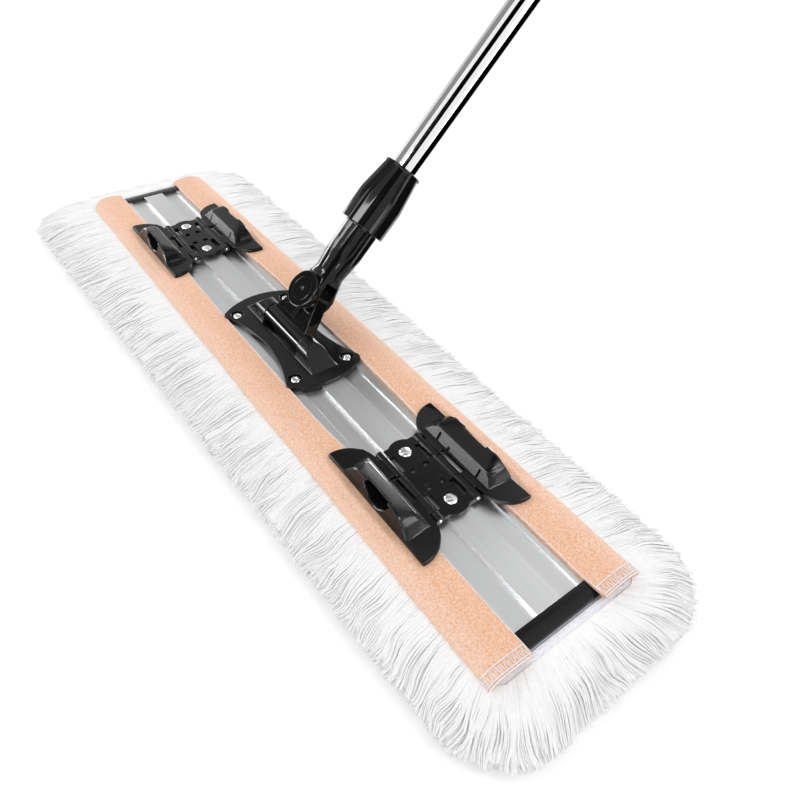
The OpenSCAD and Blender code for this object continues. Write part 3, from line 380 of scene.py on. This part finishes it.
for name, sign in (("near", 1), ("far", -1)):
    low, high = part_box(f"{name}_end_binding")
    inner = low.x if sign > 0 else -high.x
    length = high.y - low.y
    bm = bmesh.new()
    bmesh.ops.create_grid(bm, x_segments=24, y_segments=90, size=0.5)
    for v in bm.verts:
        x, z = along(tape_line, v.co.x + 0.5)
        y = v.co.y * length
        ripple = 0.16 * MM * math.sin(y / (2.4 * MM)) * ease(0.25, 0.6, v.co.x + 0.5)
        v.co = Vector((sign * (inner + x), y, pile_top + z + ripple))
    face_up(bm)
    tape = thicken(make_piece(bm, f"{name}_tape", tape_finish), 0.7 * MM)
    rows = []
    for row_x in (0.42, 0.63):
        y = -0.5 * length + 2 * MM
        while y < 0.5 * length - 4 * MM:
            dash = []
            for k in range(4):
                x, z = along(tape_line, row_x)
                rise = (0.3 if k in (1, 2) else -0.25) * MM
                point = Vector((sign * (inner + x), y + k * stitch_step, pile_top + z + rise))
                dash.append((point, thread_r))
            rows.append(dash)
            y += stitch_pitch
    stitches = strand_piece(f"{name}_tape_stitches", rows, stitch_finish, 1)
    for piece in (tape, stitches):
        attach(piece, "head")
    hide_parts(f"{name}_end_binding")

# Flaps: two long strips of peach fleece, sewn to the pad's long sides and folded over the plate.
# The clamps press them down. Their near ends are overlocked with white thread.
fleece_finish, tree, shader = new_finish("peach_fleece", (0.84, 0.53, 0.37), 0.95)
nap = speckle(tree, 1000, 3, (0.7, 1, 1))
# Towards the fold at the outer side the colour runs paler. This is a painted sheen, for the light that the
# fold's fuzz catches; the nap's own noise is real tone.
place = tree.nodes.new("ShaderNodeTexCoord")
apart = tree.nodes.new("ShaderNodeSeparateXYZ")
off_middle = tree.nodes.new("ShaderNodeMath")
off_middle.operation = "ABSOLUTE"
painted_sheen_band = tree.nodes.new("ShaderNodeMapRange")
painted_sheen_band.inputs["From Min"].default_value = 0.044
painted_sheen_band.inputs["From Max"].default_value = 0.06
painted_sheen_band.inputs["To Max"].default_value = 0.16
nap_and_painted_sheen = tree.nodes.new("ShaderNodeMath")
tree.links.new(place.outputs["Object"], apart.inputs["Vector"])
tree.links.new(apart.outputs["Y"], off_middle.inputs[0])
tree.links.new(off_middle.outputs[0], painted_sheen_band.inputs["Value"])
tree.links.new(painted_sheen_band.outputs["Result"], nap_and_painted_sheen.inputs[0])
tree.links.new(nap, nap_and_painted_sheen.inputs[1])
tint(tree, shader, nap_and_painted_sheen.outputs[0], (0.79, 0.41, 0.235), (0.91, 0.65, 0.52), (0.35, 0.72))
emboss(tree, shader, speckle(tree, 1100, 3), 0.0005, 0.55)
shader.inputs["Sheen Weight"].default_value = 0.45
shader.inputs["Sheen Roughness"].default_value = 0.5
shader.inputs["Sheen Tint"].default_value = (1, 0.86, 0.78, 1)
shader.inputs["Specular IOR Level"].default_value = 0.03
flap_low, flap_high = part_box("rear_flap")
flap_sewn = flap_low.z + 0.2 * MM
flap_top = flap_high.z + 0.1 * MM
flap_face = flap_high.y - 0.2 * MM
fold_r = 4 * MM
fold_rise = flap_top - flap_sewn - fold_r
fold_l = math.pi / 2 * fold_r
clamp_at = (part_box("near_clamp_base")[0].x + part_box("near_clamp_base")[1].x) / 2


def flap_point(share, d_share, sign):
    """A point of a flap: share runs from the far to the near end, d_share from the sewn to the free edge."""
    x = flap_low.x + share * (flap_high.x - flap_low.x)
    drawn = 3.2 * MM * (1 - ease(75 * MM, 170 * MM, abs(x)))
    free = flap_low.y + drawn + 0.5 * MM * noise.noise(Vector((x * 18, sign * 3, 0)))
    flat_l = flap_face - fold_r - free
    d = d_share * (fold_rise + fold_l + flat_l)
    pressed = 1 - ease(46 * MM, 68 * MM, abs(abs(x) - clamp_at))
    slack = 0.9 * MM * noise.noise(Vector((x * 11, sign * 7, 2))) * (1 - pressed)
    if d < fold_rise:
        y, z = flap_face, flap_sewn + d
        y += slack * d / fold_rise
    elif d < fold_rise + fold_l:
        bend = (d - fold_rise) / fold_r
        y = flap_face - fold_r * (1 - math.cos(bend)) + slack
        z = flap_sewn + fold_rise + fold_r * math.sin(bend)
    else:
        over = d - fold_rise - fold_l
        y = flap_face - fold_r - over + slack * (1 - over / flat_l)
        z = flap_top
        crown = math.sin(math.pi * min(1, over / flat_l + 0.12)) ** 0.8
        z += crown * (1.5 * MM + 0.9 * MM * noise.noise(Vector((x * 23, y * 30, sign)))) * (1 - pressed)
        z += pressed * 1.5 * MM * math.exp(-((y - 49 * MM) / (3 * MM)) ** 2)
        z -= 0.5 * MM * ease(0.8, 1, over / flat_l)
    near_end = ease(flap_high.x - 22 * MM, flap_high.x, x)
    z += near_end * (1.1 if sign < 0 else 1.9) * MM * ease(0.1, 0.5, d_share)
    round_r = 17 * MM
    inset = flap_face - y
    if inset < round_r:
        short = round_r - math.sqrt(max(0, round_r ** 2 - (round_r - inset) ** 2))
        x += short * (1 - ease(flap_low.x, flap_low.x + 45 * MM, x))
    return Vector((x, sign * y, z))


flap_l = flap_high.x - flap_low.x


def on_flap(share, d_share, sign, lift):
    """A point that lies lift above a flap's outer side."""
    step = 0.002
    at = flap_point(share, d_share, sign)
    along_x = flap_point(min(1, share + step), d_share, sign) - flap_point(share - step, d_share, sign)
    along_d = flap_point(share, min(1, d_share + step), sign) - flap_point(share, d_share - step, sign)
    normal = along_d.cross(along_x).normalized() * (1 if sign > 0 else -1)
    return at + normal * lift


for name, sign in (("front", -1), ("rear", 1)):
    bm = bmesh.new()
    bmesh.ops.create_grid(bm, x_segments=320, y_segments=36, size=0.5)
    for v in bm.verts:
        v.co = flap_point(v.co.x + 0.5, v.co.y + 0.5, sign)
    face_up(bm)
    flap = thicken(make_piece(bm, f"{name}_fleece_flap", fleece_finish), 2.5 * MM)
    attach(flap, "head")
    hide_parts(f"{name}_flap")

    threads = []
    overlock_w = 7.5 * MM / flap_l
    overlock_turns = 11
    for inset in (0.012, 0.2, 1.0):
        share = 1 - overlock_w * inset
        row = [on_flap(share, 0.04 + 0.955 * k / 40, sign, 0.2 * MM) for k in range(41)]
        threads.append([(point, 0.3 * MM) for point in row])
    zigzag = []
    for k in range(4 * overlock_turns + 1):
        swing = abs((k / 2) % 2 - 1)
        share = 1 - overlock_w * (0.02 + 0.98 * swing)
        d_share = 0.05 + 0.94 * k / (4 * overlock_turns)
        zigzag.append((on_flap(share, d_share, sign, 0.3 * MM), 0.28 * MM))
    threads.append(zigzag)
    for d_share, thick in ((0.015, 0.55 * MM), (0.997, 0.26 * MM)):
        row = [on_flap(0.004 + 0.992 * k / 160, d_share, sign, 0.0) for k in range(161)]
        threads.append([(point, thick) for point in row])
    hem = strand_piece(f"{name}_flap_threads", threads, stitch_finish, 1)
    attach(hem, "head")

# Plate: one aluminium extrusion, cut to length and anodised in its natural silver.
# A hollow rib runs along its middle, and a raised band along each long edge.
sharp_angle = math.radians(28)


def moulded(
    node, finish, edge, body, segments=2, accent=None, accent_on=None, rounds=(), reshape=None
):
    """A copy of a CAD node whose sharp edges get a small radius. It stands for the node.

    Faces that accent_on picks get the accent finish. rounds holds wider radii, their steps and what picks
    their edges. Corners that a bevel throws out go back to the surface. reshape works on the mesh last."""
    bm = bmesh.new()
    bm.from_mesh(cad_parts[node].data)
    bmesh.ops.remove_doubles(bm, verts=bm.verts, dist=0.003 * MM)
    bmesh.ops.dissolve_limit(bm, angle_limit=math.radians(1), verts=bm.verts, edges=bm.edges)
    if accent:
        for face in bm.faces:
            face.material_index = 1 if accent_on(face) else 0
    skin = BVHTree.FromBMesh(bm)
    for radius, steps, picked in rounds:
        bm.normal_update()
        edges = [e for e in bm.edges if e.is_convex and e.calc_face_angle() > sharp_angle and picked(e)]
        bmesh.ops.bevel(
            bm, geom=edges, offset=radius, segments=steps, profile=0.5, affect="EDGES", material=-1,
            clamp_overlap=False,
        )
    bm.normal_update()
    edges = [e for e in bm.edges if len(e.link_faces) == 2 and e.calc_face_angle() > sharp_angle]
    bmesh.ops.bevel(
        bm, geom=edges, offset=edge, segments=segments, profile=0.5, affect="EDGES", material=-1,
        clamp_overlap=False,
    )
    reach = max([edge, *(radius for radius, _, _ in rounds)])
    for v in bm.verts:
        nearest, _, _, stray = skin.find_nearest(v.co)
        if stray > reach:
            v.co = nearest
    if reshape:
        reshape(bm)
    piece = make_piece(bm, f"{node}_finished", finish)
    if accent:
        piece.data.materials.append(accent)
    piece.modifiers.new("normals", "WEIGHTED_NORMAL")
    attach(piece, body)
    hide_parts(node)
    return piece


plate_finish, tree, shader = new_finish("silver_anodised", (0.68, 0.685, 0.69), 0.33, 1.0)
drawn = speckle(tree, 1, 3, (5, 700, 700))
tint(tree, shader, drawn, (0.64, 0.645, 0.65), (0.68, 0.685, 0.69))
polish(tree, shader, drawn, 0.32, 0.38)
emboss(tree, shader, drawn, 0.00001, 0.2)
moulded("frame_plate", plate_finish, 0.12 * MM, "head")

# End caps: black polypropylene mouldings pushed into the plate's ends, which hide its cut edges.
# A tongue in the hollow rib holds each one, and its outer top edge has a wide chamfer.
cap_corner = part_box("near_end_cap")[1]
end_chamfer = 4.6 * MM


def black_finish(name, smooth, rough, relief, strength, mirror):
    """Black plastic with a fine grain, from its gloss, its relief and how strongly it mirrors."""
    finish, tree, shader = new_finish(name, (0.005, 0.005, 0.005), 0.2)
    grain = speckle(tree, 700, 4)
    tint(tree, shader, grain, (0.003, 0.003, 0.0032), (0.007, 0.007, 0.0072))
    polish(tree, shader, speckle(tree, 60, 5), smooth, rough)
    emboss(tree, shader, grain, relief, strength)
    shader.inputs["Specular IOR Level"].default_value = mirror
    return finish


def is_end_edge(edge):
    """Whether an edge of an end cap runs along its outer end, at its top."""
    near = 0.1 * MM
    at_end = all(abs(abs(v.co.x) - cap_corner.x) < near for v in edge.verts)
    return at_end and all(v.co.z > cap_corner.z - near for v in edge.verts)


plastic_finish = black_finish("black_plastic", 0.05, 0.1, 0.00001, 0.1, 0.28)
satin_finish = black_finish("satin_plastic", 0.17, 0.23, 0.00003, 0.2, 0.26)
for end in ("near", "far"):
    moulded(
        f"{end}_end_cap", satin_finish, 0.4 * MM, "head",
        rounds=((end_chamfer, 1, is_end_edge),),
    )

# Clamp bases: black mouldings on the rib, each held by two bright steel rivets with domed heads.
# A steel pin runs through each row of barrels, with a torsion spring wound round it inside.
steel_finish, tree, shader = new_finish("bright_steel", (0.72, 0.72, 0.73), 0.2, 1.0)
wear = speckle(tree, 260, 4)
tint(tree, shader, wear, (0.68, 0.68, 0.69), (0.78, 0.78, 0.79))
polish(tree, shader, wear, 0.18, 0.28)
# Dark steel: the springs' own colour, and painted shade on the pins' middles.
dark_steel_and_shade_finish, tree, shader = new_finish("blackened_steel_and_painted_shade", (0.035, 0.035, 0.037), 0.4, 1.0)
scale_field = speckle(tree, 500, 3)
tint(tree, shader, scale_field, (0.02, 0.02, 0.021), (0.05, 0.05, 0.053))
polish(tree, shader, scale_field, 0.35, 0.5)


def turned(bm, profile, centre, axis, steps):
    """Spins a profile of (radius, height) in millimetres round an axis through centre and closes it."""
    axis = axis.normalized()
    spoke = axis.orthogonal().normalized()
    points = [bm.verts.new(centre + spoke * (r * MM) + axis * (h * MM)) for r, h in profile]
    edges = [bm.edges.new(pair) for pair in zip(points, points[1:])]
    bmesh.ops.spin(
        bm, geom=points + edges, cent=centre, axis=axis, angle=2 * math.pi, steps=steps, use_merge=True
    )
    bmesh.ops.remove_doubles(bm, verts=bm.verts, dist=0.002 * MM)
    bmesh.ops.recalc_face_normals(bm, faces=bm.faces)


rivet_x, rivet_dome = 23.9 * MM, 1.4 * MM
rivet_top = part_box("near_clamp_rivets")[1].z
rivet_line = [
    (0, 1.45), (1.3, 1.4), (2.4, 1.25), (3.3, 0.95), (4.0, 0.55), (4.4, 0.15), (4.45, 0.02),
    (2.4, 0.0), (2.4, -5.5), (3.2, -5.6), (3.2, -8.5), (0, -8.5),
]
pin_line = [
    (0, -33.5), (0.9, -33.45), (1.3, -33.1), (1.3, -31.5), (1.3, 31.5), (1.3, 33.1), (0.9, 33.45), (0, 33.5)
]
pin_shade_painted_within = 31 * MM
spring_pin = Vector((0, 15.5, 31.1)) * MM
spring_r, spring_wire, spring_l, spring_turns = 1.75 * MM, 0.35 * MM, 17 * MM, 5
spring_leg, spring_foot = 10.8 * MM, 1.9 * MM
for end, side in (("near", 1), ("far", -1)):
    moulded(f"{end}_clamp_base", satin_finish, 0.3 * MM, "head")
    bm = bmesh.new()
    for shift in (-rivet_x, rivet_x):
        foot = Vector((side * clamp_at + shift, 0, rivet_top - rivet_dome))
        turned(bm, rivet_line, foot, Vector((0, 0, 1)), 40)
    rivets = make_piece(bm, f"{end}_domed_rivets", steel_finish)
    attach(rivets, "head")
    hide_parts(f"{end}_clamp_rivets")
    bm = bmesh.new()
    for sign in (-1, 1):
        middle = Vector((side * clamp_at, sign * spring_pin.y, spring_pin.z))
        turned(bm, pin_line, middle, Vector((1, 0, 0)), 24)
    # The middle of each pin, inside the barrels, gets the dark steel as painted shade; only its ends are
    # bright steel.
    for face in bm.faces:
        from_middle = abs(face.calc_center_median().x - side * clamp_at)
        face.material_index = 1 if from_middle < pin_shade_painted_within else 0
    pins = make_piece(bm, f"{end}_round_pins", steel_finish)
    pins.data.materials.append(dark_steel_and_shade_finish)
    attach(pins, "head")
    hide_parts(f"{end}_hinge_pins")
    for flank, sign in (("front", -1), ("rear", 1)):
        wire = []
        steps = 24 * spring_turns + 6
        for k in range(steps + 1):
            share = k / steps
            angle = math.radians(90 + (360 * spring_turns + 90) * share)
            coil_y, coil_z = spring_r * math.cos(angle), spring_r * math.sin(angle)
            wire.append(Vector((spring_l * (share - 0.5), coil_y, coil_z)))
        wire.insert(0, wire[0] + Vector((0, spring_leg, 0)))
        wire.append(wire[-1] - Vector((0, 0, spring_foot)))
        path = []
        for point in wire:
            at = point + spring_pin
            path.append((Vector((side * clamp_at + at.x, sign * at.y, at.z)), spring_wire))
        spring = strand_piece(f"{end}_{flank}_spring_wire", [path], dark_steel_and_shade_finish, 2)
        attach(spring, "head")
        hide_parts(f"{end}_{flank}_spring")

# Clamp wings: black mouldings that snap on the hinge pins and press the flaps down.
# Each has a hump with a finger opening under it and two flat half-round pads.
# The thumb rests' grain is real. Their colour is painted a lighter grey than the plastic, as painted light
# for the light that their slope catches.
grain_and_painted_light_finish, tree, shader = new_finish("grained_plastic_painted_lighter", (0.06, 0.06, 0.06), 0.5)
pebble = speckle(tree, 1400, 2)
tint(tree, shader, pebble, (0.035, 0.035, 0.035), (0.1, 0.1, 0.1), (0.35, 0.65))
emboss(tree, shader, pebble, 0.0002, 0.6)


def is_thumb_rest(face):
    """Whether a face of a wing is the grained slope on its hump's inner side, between the slits."""
    middle = face.calc_center_median()
    inward = -face.normal.y * (1 if middle.y > 0 else -1)
    high = middle.z > 34 * MM and abs(middle.y) < 29 * MM
    return inward > 0.5 and high and abs(abs(middle.x) - clamp_at) < 6 * MM and face.calc_area() > 50e-6


def is_top_edge(edge):
    """Whether an edge of a wing runs round its upper side, clear of the hinge."""
    middle = (edge.verts[0].co + edge.verts[1].co) / 2
    rises = sorted(face.normal.z for face in edge.link_faces)
    return abs(middle.y) > 23 * MM and middle.z > 32 * MM and abs(rises[0]) < 0.3 and rises[1] > 0.55


def is_ridge(edge):
    """Whether an edge of a wing runs along the ridge of its hump."""
    middle = (edge.verts[0].co + edge.verts[1].co) / 2
    return abs(abs(middle.y) - 28 * MM) < 0.7 * MM and middle.z > 33.5 * MM


wing_top, hump_h, hump_foot, hump_shoulder = 33.8 * MM, 12.3 * MM, 34 * MM, 21 * MM
hump_line = [(24, 0), (28, 7.8), (40.5, 12.3), (43.5, 0)]
drawn_l, blend_w = 20 * MM, 2 * MM


def cut_across(bm, point, normal):
    """Cuts a wing's faces in a plane, so that they can bend there."""
    bmesh.ops.bisect_plane(bm, geom=[*bm.verts, *bm.edges, *bm.faces], plane_co=point, plane_no=normal)


def round_hump(bm):
    """Draws the ends of a wing's hump down in a long curve, as a soft mould shape has them."""
    for side in (-1, 1):
        for k in range(17):
            for middle in (-clamp_at, clamp_at):
                cut_across(bm, (middle + side * (hump_foot - 1.25 * k * MM), 0, 0), (1, 0, 0))
        for k in range(5):
            cut_across(bm, (0, side * (29.5 + 2.2 * k) * MM, 0), (0, 1, 0))
    for v in bm.verts:
        along_x, off_y = abs(abs(v.co.x) - clamp_at), abs(v.co.y) / MM
        if along_x > hump_foot or not hump_line[0][0] < off_y < hump_line[-1][0]:
            continue
        over = next(b for b in hump_line if off_y <= b[0])
        under = hump_line[hump_line.index(over) - 1]
        across_h = (under[1] + (over[1] - under[1]) * (off_y - under[0]) / (over[0] - under[0])) * MM
        was = min(across_h, hump_h * ease(hump_foot, hump_shoulder, along_x))
        drawn_h = hump_h * (1 - (1 - min(1, (hump_foot - along_x) / drawn_l)) ** 2.2)
        blend = max(0, blend_w - abs(across_h - drawn_h))
        now = min(across_h, drawn_h) - blend * blend / (4 * blend_w)
        if was > 0.01 * MM and v.co.z > wing_top:
            v.co.z = wing_top + max(0, now) * min(1, (v.co.z - wing_top) / was)


for end in ("near", "far"):
    for flank in ("front", "rear"):
        moulded(
            f"{end}_{flank}_wing", satin_finish, 0.45 * MM, f"{end}_{flank}_jaw",
            accent=grain_and_painted_light_finish, accent_on=is_thumb_rest,
            rounds=((1.3 * MM, 4, is_top_edge), (2 * MM, 5, is_ridge)), reshape=round_hump,
        )

# Swivel base: a waisted black moulding, held to the plate by four round-head steel screws.
# The hub of the link turns between its two bearing blocks on a steel axle. A thin black sheet under the hub
# is painted shade, for the dark pocket there.
moulded("swivel_base", satin_finish, 0.6 * MM, "head", segments=3)
# A black sheet a quarter of a millimetre thick, just over the rib: painted shade under the hub.
shade_sheet_size = (51.6 * MM, 19 * MM, 0.25 * MM)
shade_sheet_z = 28.65 * MM
bm = bmesh.new()
bmesh.ops.create_cube(bm, size=1)
bmesh.ops.scale(bm, vec=shade_sheet_size, verts=bm.verts)
bmesh.ops.translate(bm, vec=(0, 0, shade_sheet_z), verts=bm.verts)
bmesh.ops.bevel(
    bm, geom=bm.edges[:], offset=0.05 * MM, segments=1, profile=0.5, affect="EDGES", material=-1,
    clamp_overlap=False,
)
shade_sheet = make_piece(bm, "swivel_base_shade_sheet", satin_finish)
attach(shade_sheet, "head")
screw_line = [
    (0, 0.25), (1.2, 0.25), (1.35, 0.85), (2.1, 0.75), (3.0, 0.4), (3.6, -0.05), (3.95, -0.6), (3.9, -1.0),
    (2.0, -2.4), (2.0, -6.5), (0, -6.6),
]
screw_x, screw_y, screw_z = 48, 22.8, 30.2
bm = bmesh.new()
for x in (-screw_x, screw_x):
    for y in (-screw_y, screw_y):
        turned(bm, screw_line, Vector((x, y, screw_z)) * MM, Vector((0, 0, 1)), 32)
screws = make_piece(bm, "round_head_screws", steel_finish)
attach(screws, "head")
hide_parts("base_screws")


def dress(node, finish):
    """Gives a CAD node that keeps its own shape its finish."""
    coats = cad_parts[node].data.materials
    coats.clear()
    coats.append(finish)


dress("axle_pin", steel_finish)

# Swivel link: a black moulding with a hub across and a tongue, which the handle's fork straddles.
# The steel axle through its hub lets the pole lean, and the pin through its tongue lets it swing.
moulded("swivel_link", plastic_finish, 0.5 * MM, "link")

# Handle socket: a black moulding with a fork at its foot and a tapered, fluted barrel.
# A steel pin through the fork carries it, behind a round snap-in cap on each side.
moulded("handle_socket", plastic_finish, 0.5 * MM, "handle")
moulded("rear_pivot_cap", plastic_finish, 0.3 * MM, "handle")
swing_at = Vector((0, 24.098, 60.571)) * MM
pole_axis = Vector((0, 0.71934, 0.69466))
pivot_axis = Vector((0, -pole_axis.z, pole_axis.y))
cap_line = [
    (0, 13.3), (1.0, 13.35), (1.5, 13.9), (1.9, 14.1), (9.4, 14.15), (9.55, 14.08), (9.75, 14.08),
    (9.9, 14.15), (14.1, 14.15), (14.7, 13.95), (15.1, 13.5), (15.3, 12.9), (15.3, 11.0), (15.0, 10.66),
    (9.0, 10.66), (9.0, 8.8), (0, 8.8),
]
bm = bmesh.new()
turned(bm, cap_line, swing_at, pivot_axis, 72)
cap = make_piece(bm, "ringed_pivot_cap", plastic_finish)
cap.modifiers.new("normals", "WEIGHTED_NORMAL")
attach(cap, "handle")
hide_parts("front_pivot_cap")
dress("swing_pin", steel_finish)

# Collar nut: a black moulding with four broad gripping ribs, screwed on the socket.
# It closes the socket's slit collet on the pole.
moulded("collar_nut", plastic_finish, 0.7 * MM, "collar", segments=3)

# Pole: two thin stainless tubes, one sliding in the other, polished to a mirror.
# The lower one is pushed into the handle's socket, and the collar nut holds it there.
chrome_finish, tree, shader = new_finish("mirror_steel", (0.86, 0.86, 0.87), 0.04, 1.0)
smear = speckle(tree, 30, 5)
tint(tree, shader, smear, (0.82, 0.82, 0.83), (0.89, 0.89, 0.9))
polish(tree, shader, smear, 0.025, 0.06)
axle_z, tube_from, tube_l = 37.3 * MM, 67.5 * MM, 520
tube_line = [
    (10.5, 0), (10.85, 0), (11, 0.3), (11, tube_l - 0.3), (10.85, tube_l), (10.5, tube_l), (10.5, 0)
]
bm = bmesh.new()
turned(bm, tube_line, Vector((0, 0, axle_z)) + pole_axis * tube_from, pole_axis, 96)
tube = make_piece(bm, "lower_tube_polished", chrome_finish)
tube.modifiers.new("normals", "WEIGHTED_NORMAL")
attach(tube, "handle")
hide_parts("lower_tube")
dress("upper_tube", chrome_finish)

# Pole lock: a split black sleeve at the lower tube's mouth, and the ribbed nut that closes it.
# A black bush on the upper tube's foot keeps it from pulling out.
moulded("pole_lock_body", plastic_finish, 0.3 * MM, "handle")
moulded("pole_lock_nut", plastic_finish, 0.4 * MM, "pole_lock")
moulded("slide_bush", plastic_finish, 0.25 * MM, "pole_top")

# Grip: a ribbed sleeve of black rubber on the upper tube, with a hanging cap pressed in its end.
# The cap is a black moulding with a hole to hang the mop by.
rubber_finish, tree, shader = new_finish("grip_rubber", (0.022, 0.022, 0.023), 0.6)
dust = speckle(tree, 350, 4)
tint(tree, shader, dust, (0.016, 0.016, 0.017), (0.034, 0.034, 0.035))
polish(tree, shader, dust, 0.5, 0.75)
emboss(tree, shader, dust, 0.0002, 0.4)
dress("grip", rubber_finish)
moulded("hang_cap", plastic_finish, 0.6 * MM, "pole_top", segments=3)

# Studio: a white floor and white walls of light, with softboxes at the left, behind, above and near.
# Cards that only reflections see put the light and dark streaks on the plastic, the plate and the tube.
bpy.context.scene.view_settings.view_transform = "Standard"
world = bpy.data.worlds.new("studio")
bpy.context.scene.world = world
world.use_nodes = True
tree = world.node_tree
sky = tree.nodes["Background"]
sky.inputs["Color"].default_value = (1, 1, 1, 1)
path = tree.nodes.new("ShaderNodeLightPath")
seen = tree.nodes.new("ShaderNodeMath")
seen.operation = "MAXIMUM"
seen_too = tree.nodes.new("ShaderNodeMath")
seen_too.operation = "MAXIMUM"
strength = tree.nodes.new("ShaderNodeMapRange")
strength.inputs["To Min"].default_value = 0.75
strength.inputs["To Max"].default_value = 1.0
tree.links.new(path.outputs["Is Camera Ray"], seen.inputs[0])
tree.links.new(path.outputs["Is Glossy Ray"], seen.inputs[1])
tree.links.new(seen.outputs[0], seen_too.inputs[0])
tree.links.new(path.outputs["Is Transmission Ray"], seen_too.inputs[1])
tree.links.new(seen_too.outputs[0], strength.inputs["Value"])
tree.links.new(strength.outputs["Result"], sky.inputs["Strength"])

floor_finish, tree, shader = new_finish("white_floor", (0.88, 0.88, 0.88), 0.9)
glow = tree.nodes.new("ShaderNodeEmission")
both = tree.nodes.new("ShaderNodeAddShader")
path = tree.nodes.new("ShaderNodeLightPath")
seen = tree.nodes.new("ShaderNodeMath")
seen.operation = "MAXIMUM"
level_of = tree.nodes.new("ShaderNodeMapRange")
place = tree.nodes.new("ShaderNodeTexCoord")
span = tree.nodes.new("ShaderNodeVectorMath")
span.operation = "LENGTH"
fade = tree.nodes.new("ShaderNodeMapRange")
fade.inputs["From Min"].default_value = 0.9
fade.inputs["From Max"].default_value = 2.0
fade.inputs["To Min"].default_value = 0.2
fade.inputs["To Max"].default_value = 0.7
tree.links.new(place.outputs["Object"], span.inputs[0])
tree.links.new(span.outputs["Value"], fade.inputs["Value"])
tree.links.new(fade.outputs["Result"], level_of.inputs["To Max"])
tree.links.new(path.outputs["Is Camera Ray"], seen.inputs[0])
tree.links.new(path.outputs["Is Glossy Ray"], seen.inputs[1])
tree.links.new(seen.outputs[0], level_of.inputs["Value"])
tree.links.new(level_of.outputs["Result"], glow.inputs["Strength"])
tree.links.new(shader.outputs["BSDF"], both.inputs[0])
tree.links.new(glow.outputs["Emission"], both.inputs[1])
tree.links.new(both.outputs["Shader"], tree.nodes["Material Output"].inputs["Surface"])
bm = bmesh.new()
bmesh.ops.create_grid(bm, x_segments=1, y_segments=1, size=6)
floor = make_piece(bm, "floor", floor_finish)


def softbox(name, direction, distance, width, height, watts):
    """An area light that looks at the mop from that direction."""
    lamp = bpy.data.lights.new(name, "AREA")
    lamp.shape = "RECTANGLE"
    lamp.size = width
    lamp.size_y = height
    lamp.energy = watts
    body = bpy.data.objects.new(name, lamp)
    away = Vector(direction).normalized()
    body.location = away * distance
    body.rotation_mode = "QUATERNION"
    body.rotation_quaternion = away.to_track_quat("Z", "Y")
    body.visible_glossy = False
    bpy.context.scene.collection.objects.link(body)


card_out = Vector((0.724, -0.480, 0.495))
card_side = Vector((0.690, 0.503, -0.521))


def set_up_card(bm, name, bright):
    """A studio card of that brightness, which only reflections see."""
    finish = bpy.data.materials.new(name)
    finish.use_nodes = True
    nodes, links = finish.node_tree.nodes, finish.node_tree.links
    paint = nodes.new("ShaderNodeEmission")
    paint.inputs["Strength"].default_value = bright
    links.new(paint.outputs["Emission"], nodes["Material Output"].inputs["Surface"])
    board = make_piece(bm, name, finish)
    board.visible_camera = False
    board.visible_diffuse = False
    board.visible_shadow = False
    board.visible_transmission = False


def reflector(name, direction, distance, width, height, bright):
    """A flat card that faces the mop from that direction."""
    away = Vector(direction).normalized()
    turn = away.to_track_quat("Z", "Y").to_matrix()
    bm = bmesh.new()
    bmesh.ops.create_grid(bm, x_segments=1, y_segments=1, size=0.5)
    for v in bm.verts:
        v.co = away * distance + turn @ Vector((v.co.x * width, v.co.y * height, 0))
    set_up_card(bm, name, bright)


reflector("low_left_card", (-0.62, -0.775, 0.1), 1.3, 0.57, 0.26, 27)
reflector("left_card", (-0.5, -0.7, 0.5), 1.3, 0.22, 0.26, 22)
reflector("front_card", (0.184, -0.552, 0.813), 1.34, 1.15, 0.23, 17)
reflector("cap_dark_card", (-0.732, -0.548, 0.404), 1.2, 0.45, 0.42, 0.15)
reflector("flute_card", (-0.94, -0.21, 0.273), 1.3, 0.32, 0.18, 13)
reflector("side_card", (-0.985, -0.08, 0.12), 1.3, 0.5, 0.22, 11)
reflector("back_card", (-0.46, 0.87, 0.14), 1.3, 0.7, 0.36, 24)
reflector("near_low_card", (0.62, -0.78, 0.1), 1.3, 1.3, 0.24, 18)
reflector("top_card", (0.72, 0.38, 0.58), 1.3, 0.4, 0.35, 11)
reflector("right_card", (0.855, 0.47, 0.2), 1.3, 0.5, 0.3, 3.5)
reflector("far_wall_card", (-0.21, 0.464, 0.86), 1.3, 0.6, 0.6, 1.3)
reflector("far_grey_card", (-0.76, 0.31, 0.57), 1.2, 0.75, 0.75, 0.66)


def card(name, first, last, grey, radius, low):
    """A card bent round the pole between two angles, where 0 faces the camera, from that height up."""
    bm = bmesh.new()
    bmesh.ops.create_grid(bm, x_segments=24, y_segments=1, size=0.5)
    for v in bm.verts:
        angle = math.radians(first + (last - first) * (v.co.x + 0.5))
        spoke = card_out * math.cos(angle) + card_side * math.sin(angle)
        v.co = swing_at + pole_axis * (low + (1 - low) * (v.co.y + 0.5)) + spoke * radius
    set_up_card(bm, name, grey)


card("dark_card", -30, 3.4, 0.0, 0.3, -0.1)
card("low_dark_card", 56, 110, 0.0, 0.13, -0.1)
card("grey_card", -104, -60, 0.3, 0.3, 0.12)

softbox("left_softbox", (-0.68, -0.5, 0.53), 1.6, 0.8, 0.8, 4.5)
softbox("back_softbox", (-0.56, 0.72, 0.4), 1.7, 0.9, 0.6, 4)
softbox("top_softbox", (0.43, 0.33, 0.83), 1.7, 0.9, 0.9, 4.5)
softbox("near_softbox", (0.8, -0.35, 0.5), 1.6, 0.8, 0.8, 3)
